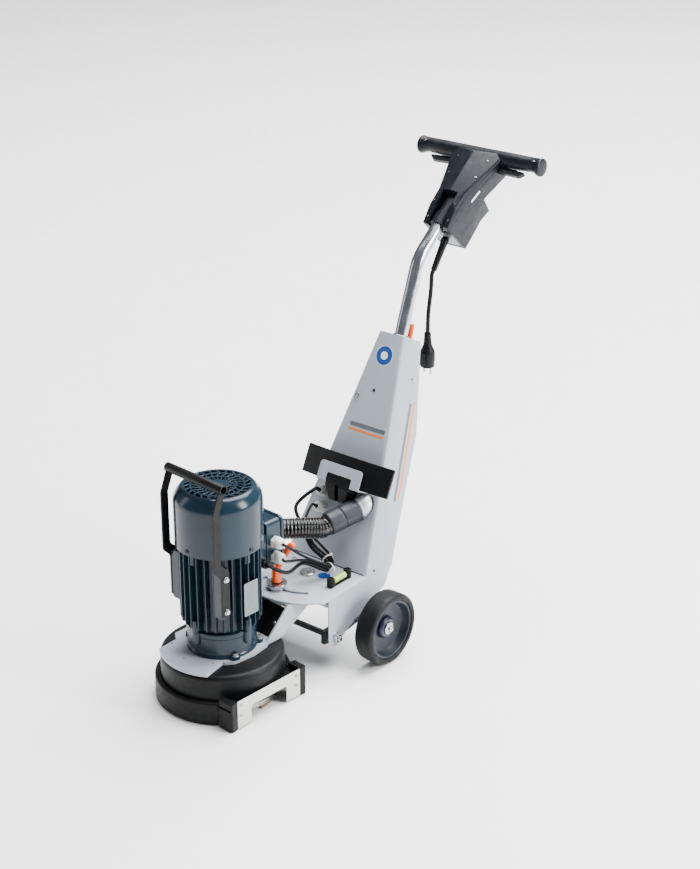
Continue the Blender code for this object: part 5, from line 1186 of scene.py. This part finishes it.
cable_runs = (
    ("motor_cable", POWER_SPOT, 0.014, 0.0045, UPPER_GLAND, 0.0, [Vector((0.0740, -0.1550, 0.2830))],
     RISE + [Vector((-0.0780, 0.0520, 0.3250))]),
    ("sensor_cable_upper", BOX_GLANDS["upper"], 0.026, 0.0032, FOOT_GLAND, 0.0170, [],
     [Vector((-0.0150, 0.0580, 0.2460))]),
    ("sensor_cable_lower", BOX_GLANDS["lower"], 0.026, 0.0032, LOWER_GLAND, 0.0092, [],
     [point + STACK * 0.0092 for point in RISE]),
)
for name, start_spot, nose_length, radius, end_spot, lift, first, last in cable_runs:
    knots = [head_spot(start_spot + Vector((nose_length - 0.006, 0, 0))),
             head_spot(start_spot + Vector((nose_length, 0, 0))),
             head_spot(start_spot + Vector((nose_length + 0.012, 0, 0)))]
    knots += first + [point + STACK * lift for point in BUNDLE] + last
    knots += [end_spot + PANEL_OUT * 0.044, end_spot + PANEL_OUT * 0.026, end_spot + PANEL_OUT * 0.018]
    run = smooth(sweep(name + "_run", even_path(curve_points(knots, 12), 0.004), radius, 16, MAIN))
    show(run, None, "black_rubber", [name])
    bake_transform(run)
ties = []
for spot, direction in ((BUNDLE[1], BUNDLE[2] - BUNDLE[0]), (BUNDLE[2], RISE[0] - BUNDLE[1])):
    tie_frame = place(MAIN, spot + STACK * 0.0075, direction)
    band = lathe("cable_ties", [(0.0128, -0.0018), (0.0136, -0.0018), (0.0136, 0.0018), (0.0128, 0.0018)], 32,
                 tie_frame, closed=True)
    lock = box("lock", (0.0126, -0.0028, -0.0026), (0.0172, 0.0028, 0.0026), tie_frame)
    ties += [band, lock]
show(smooth(merged(ties[0], ties[1:])), "chassis", "light_plastic")

# ---------------------------------------------------------------- handle tube
TUBE_DIR = Vector((0.0, slide_axis.y, slide_axis.z))
GRIP_DIR = (MAIN.inverted() @ GRIP).to_3x3() @ Vector((0.0, 1.0, 0.0))
setback = 0.030
tube_line = [TUBE_BEND - TUBE_DIR * 0.420, TUBE_BEND - TUBE_DIR * 0.300, TUBE_BEND - TUBE_DIR * 0.100]
for k in range(21):
    t = k / 20
    tube_line.append((1 - t) ** 2 * (TUBE_BEND - TUBE_DIR * setback) + 2 * t * (1 - t) * TUBE_BEND
                     + t * t * (TUBE_BEND + GRIP_DIR * setback))
tube_line.append(TUBE_BEND + GRIP_DIR * 0.260)
show(smooth(sweep("handle_tube_bent", tube_line, 0.0160, 64, MAIN, 0.0140), 40.0), "handle", "zinc",
     ["handle_tube"], look=TUBE_LOOK)
show(turned("tube_guide_lip", [(0.0165, -0.1905), (0.0195, -0.1905), (0.0195, -0.1860), (0.0185, -0.1850),
                               (0.0165, -0.1850)], 48, place(TUBE, (0, 0, 0), (0, 1, 0)), closed=True,
                               width=0.0003),
     "chassis", "steel")

# --------------------------------------------------------------- handle head
BAR_ALONG = 0.318
BAR_HALF = 0.180


def handle_body(name):
    """Outer form of the switch housing: side view, plan view and roof crossed."""
    side = [(0.0930, 0.0120), (0.1850, 0.0360), (0.1850, 0.0400), (BAR_ALONG - 0.019, 0.0400),
            (BAR_ALONG + 0.011, 0.0100), (BAR_ALONG + 0.011, -0.0400), (0.2240, -0.0400), (0.2220, -0.0820),
            (0.1080, -0.0930)]
    body = prism(name, side, -0.09, 0.09, GRIP @ ALONG_X)
    plan = [(-0.0360, 0.04), (0.0360, 0.04), (0.0400, 0.1900), (0.0700, 0.3000), (0.0700, 0.34),
            (-0.0700, 0.34),
            (-0.0700, 0.3000), (-0.0400, 0.1900)]
    combine(body, [prism("plan", plan, -0.12, 0.06, GRIP)], "INTERSECT")
    roof = [(-0.09, -0.12), (0.09, -0.12), (0.09, 0.0100), (0.0, 0.0345), (-0.09, 0.0100)]
    combine(body, [prism("roof", roof, -0.36, 0.0, GRIP @ ALONG_Y)], "INTERSECT")
    soften(body, 0.0032, 4, 20.0, 30.0)
    graph = bpy.context.evaluated_depsgraph_get()
    rounded_mesh = bpy.data.meshes.new_from_object(body.evaluated_get(graph))
    body.modifiers.clear()
    body.data = rounded_mesh
    return body


for name, node, low, high in (("handle_shell_front", "grip_shell_front", 0.00015, 0.10),
                              ("handle_shell_rear", "grip_shell_rear", -0.15, -0.00015)):
    shell = handle_body(name)
    combine(shell, [box("half", (-0.25, 0.0, low), (0.25, 0.40, high), GRIP)], "INTERSECT")
    cut(shell, [box("recess", (-0.0215, 0.02, -0.0215), (0.0215, 0.1850, 0.06), GRIP)])
    if node == "grip_shell_rear":
        cut(shell, [box("window", (-0.0300, 0.0800, -0.0800), (0.0300, 0.1060, -0.0260), GRIP)])
    show(soften(shell, 0.0004, 1, 45.0, 35.0), "handle", "handle_plastic", [node])

grip_profile = [(0, -BAR_HALF), (0.0170, -BAR_HALF), (0.0190, -BAR_HALF + 0.0004),
                (0.0212, -BAR_HALF + 0.0018),
                (0.0220, -BAR_HALF + 0.0040), (0.0220, -0.1735), (0.0212, -0.1700), (0.0192, -0.1640),
                (0.0181, -0.1560), (0.0182, -0.1450), (0.0190, -0.1250), (0.0199, -0.1050), (0.0198, -0.0850),
                (0.0190, -0.0600), (0.0190, 0.0)]
grip_profile += [(r, -z) for r, z in reversed(grip_profile[:-1])]
bar = smooth(lathe("handle_bar_grips", grip_profile, 64, place(GRIP, (0, BAR_ALONG, 0), (1, 0, 0))), 30.0)
bar_frame = place(GRIP, (0, BAR_ALONG, 0), (1, 0, 0))
bar_inverse = bar_frame.inverted()
straight_side = GRIP.to_3x3() @ Vector((0.0, 1.0, 0.0))
for vertex in bar.data.vertices:
    along_bar = abs((bar_inverse @ vertex.co).z)
    radius_here = 0.0212
    for (r0, z0), (r1, z1) in zip(grip_profile[1:15], grip_profile[2:16]):
        if -z1 <= along_bar <= -z0:
            radius_here = r0 + (r1 - r0) * (-z0 - along_bar) / max(z1 - z0, 1e-6)
    if along_bar > 0.1735:
        radius_here = 0.0212
    vertex.co += straight_side * max(0.0, 0.0212 - radius_here)
slot_low = BAR_ALONG - 0.0345
cut(bar, [box("trigger_slot", (min(side * 0.0630, side * 0.1410), slot_low - 0.012, -0.0165),
              (max(side * 0.0630, side * 0.1410), BAR_ALONG - 0.0118, 0.0000), GRIP) for side in (-1, 1)])
show(smooth(bar, 30.0), "handle", "handle_plastic")
collar_frame = place(GRIP, (0, 0, 0), (0, 1, 0))
collar_profile = [(0.0164, 0.0990), (0.0198, 0.0990), (0.0206, 0.0998), (0.0206, 0.1322), (0.0198, 0.1330),
                  (0.0184, 0.1334), (0.0178, 0.1342), (0.0178, 0.1840), (0.0164, 0.1840)]
show(smooth(lathe("tube_collar_ring", collar_profile, 64, collar_frame, closed=True), 35.0), "handle",
     "handle_plastic", ["tube_collar"])
refined("switch_plate", 0.0004, look=PLATE_LOOK)
refined("trigger_left", 0.0018, 3)
refined("trigger_right", 0.0018, 3)


def roof_height(x, along):
    """Height of the housing's front above the handle axis."""
    roof = 0.0345 - abs(x) * (0.0345 - 0.0100) / 0.09
    chin = 0.0120 + (along - 0.0930) * 0.2609
    return min(roof, chin) if along < 0.185 else roof


roof_tilt = math.atan2(0.0345 - 0.0100, 0.09)
screw_frames = []
for x, along in ((-0.0300, 0.1110), (0.0300, 0.1110), (-0.0300, 0.1520), (0.0300, 0.1520), (-0.0392, 0.2395),
                 (0.0392, 0.2395), (-0.0440, 0.2920), (0.0440, 0.2920)):
    out = Vector((math.sin(roof_tilt) * (1 if x > 0 else -1), 0.0, math.cos(roof_tilt)))
    if along < 0.17:
        out = Vector((0.0, -0.2524, 0.9676))
    screw_frames.append(place(GRIP, Vector((x, along, roof_height(x, along))) - out * 0.0003, out))
for x in (-0.1600, 0.1600):
    screw_frames.append(place(GRIP, (x, BAR_ALONG + 0.0015, 0.0186), (0, 0, 1)))
rims = []
for spot in screw_frames:
    rims.append(lathe("screw_wells", [(0.0026, 0.0), (0.0044, 0.0), (0.0042, 0.0006), (0.0036, 0.0008),
                                      (0.0026, 0.0005)], 28, spot, closed=True))
show(smooth(merged(rims[0], rims[1:])), "handle", "handle_plastic")
screws("handle_screws", screw_frames, 0.0025, 0.0005, "handle", "steel")
SIDE_TURN = math.atan2(0.0300, 0.1100)
label_frame = GRIP @ Matrix.Translation((0.0448, 0.2071, -0.0085)) @ Matrix((
    (math.sin(SIDE_TURN), 0, math.cos(SIDE_TURN), 0), (math.cos(SIDE_TURN), 0, -math.sin(SIDE_TURN), 0),
    (0, 1, 0, 0), (0, 0, 0, 1)))
label = soften(prism("blank_label", rounded([(-0.0160, -0.0052), (0.0160, 0.0000), (0.0160, 0.0052),
                                             (-0.0160, 0.0000)], 0.0006, 3), 0.0, 0.0005, label_frame), 0.0)
show(label, "handle", "light_plastic", look=WHITE_LOOK)

# ------------------------------------------------------------ floor and light
floor = mesh_object("floor", [(-9, -9, -0.0006), (9, -9, -0.0006), (9, 9, -0.0006), (-9, 9, -0.0006)],
                    [(0, 1, 2, 3)])
floor.data.materials.append(surface("pale_floor", (0.94, 0.94, 0.94), 0.55, tint=0.01, patch=3.0, grain=200.0,
                                    bump=0.02))

world = bpy.data.worlds.new("studio")
world.use_nodes = True
world.node_tree.nodes["Background"].inputs["Color"].default_value = (1.0, 1.0, 1.0, 1.0)
world.node_tree.nodes["Background"].inputs["Strength"].default_value = 0.28
bpy.context.scene.world = world


def softbox(name, spot, aim_at, size_x, size_y, power):
    """Rectangular studio light."""
    data = bpy.data.lights.new(name, "AREA")
    data.shape = "RECTANGLE"
    data.size = size_x
    data.size_y = size_y
    data.energy = power
    lamp = bpy.data.objects.new(name, data)
    lamp.location = spot
    lamp.rotation_mode = "QUATERNION"
    lamp.rotation_quaternion = (Vector(aim_at) - Vector(spot)).to_track_quat("-Z", "Y")
    bpy.context.scene.collection.objects.link(lamp)


softbox("key", (3.8, 1.2, 2.2), (0.0, 0.1, 0.5), 1.2, 2.4, 300.0)
softbox("top", (0.3, 3.6, 8.6), (0.0, 0.0, 0.0), 9.0, 9.0, 4300.0)
softbox("fill", (-3.0, -2.2, 1.6), (0.0, 0.0, 0.5), 0.7, 2.4, 18.0)
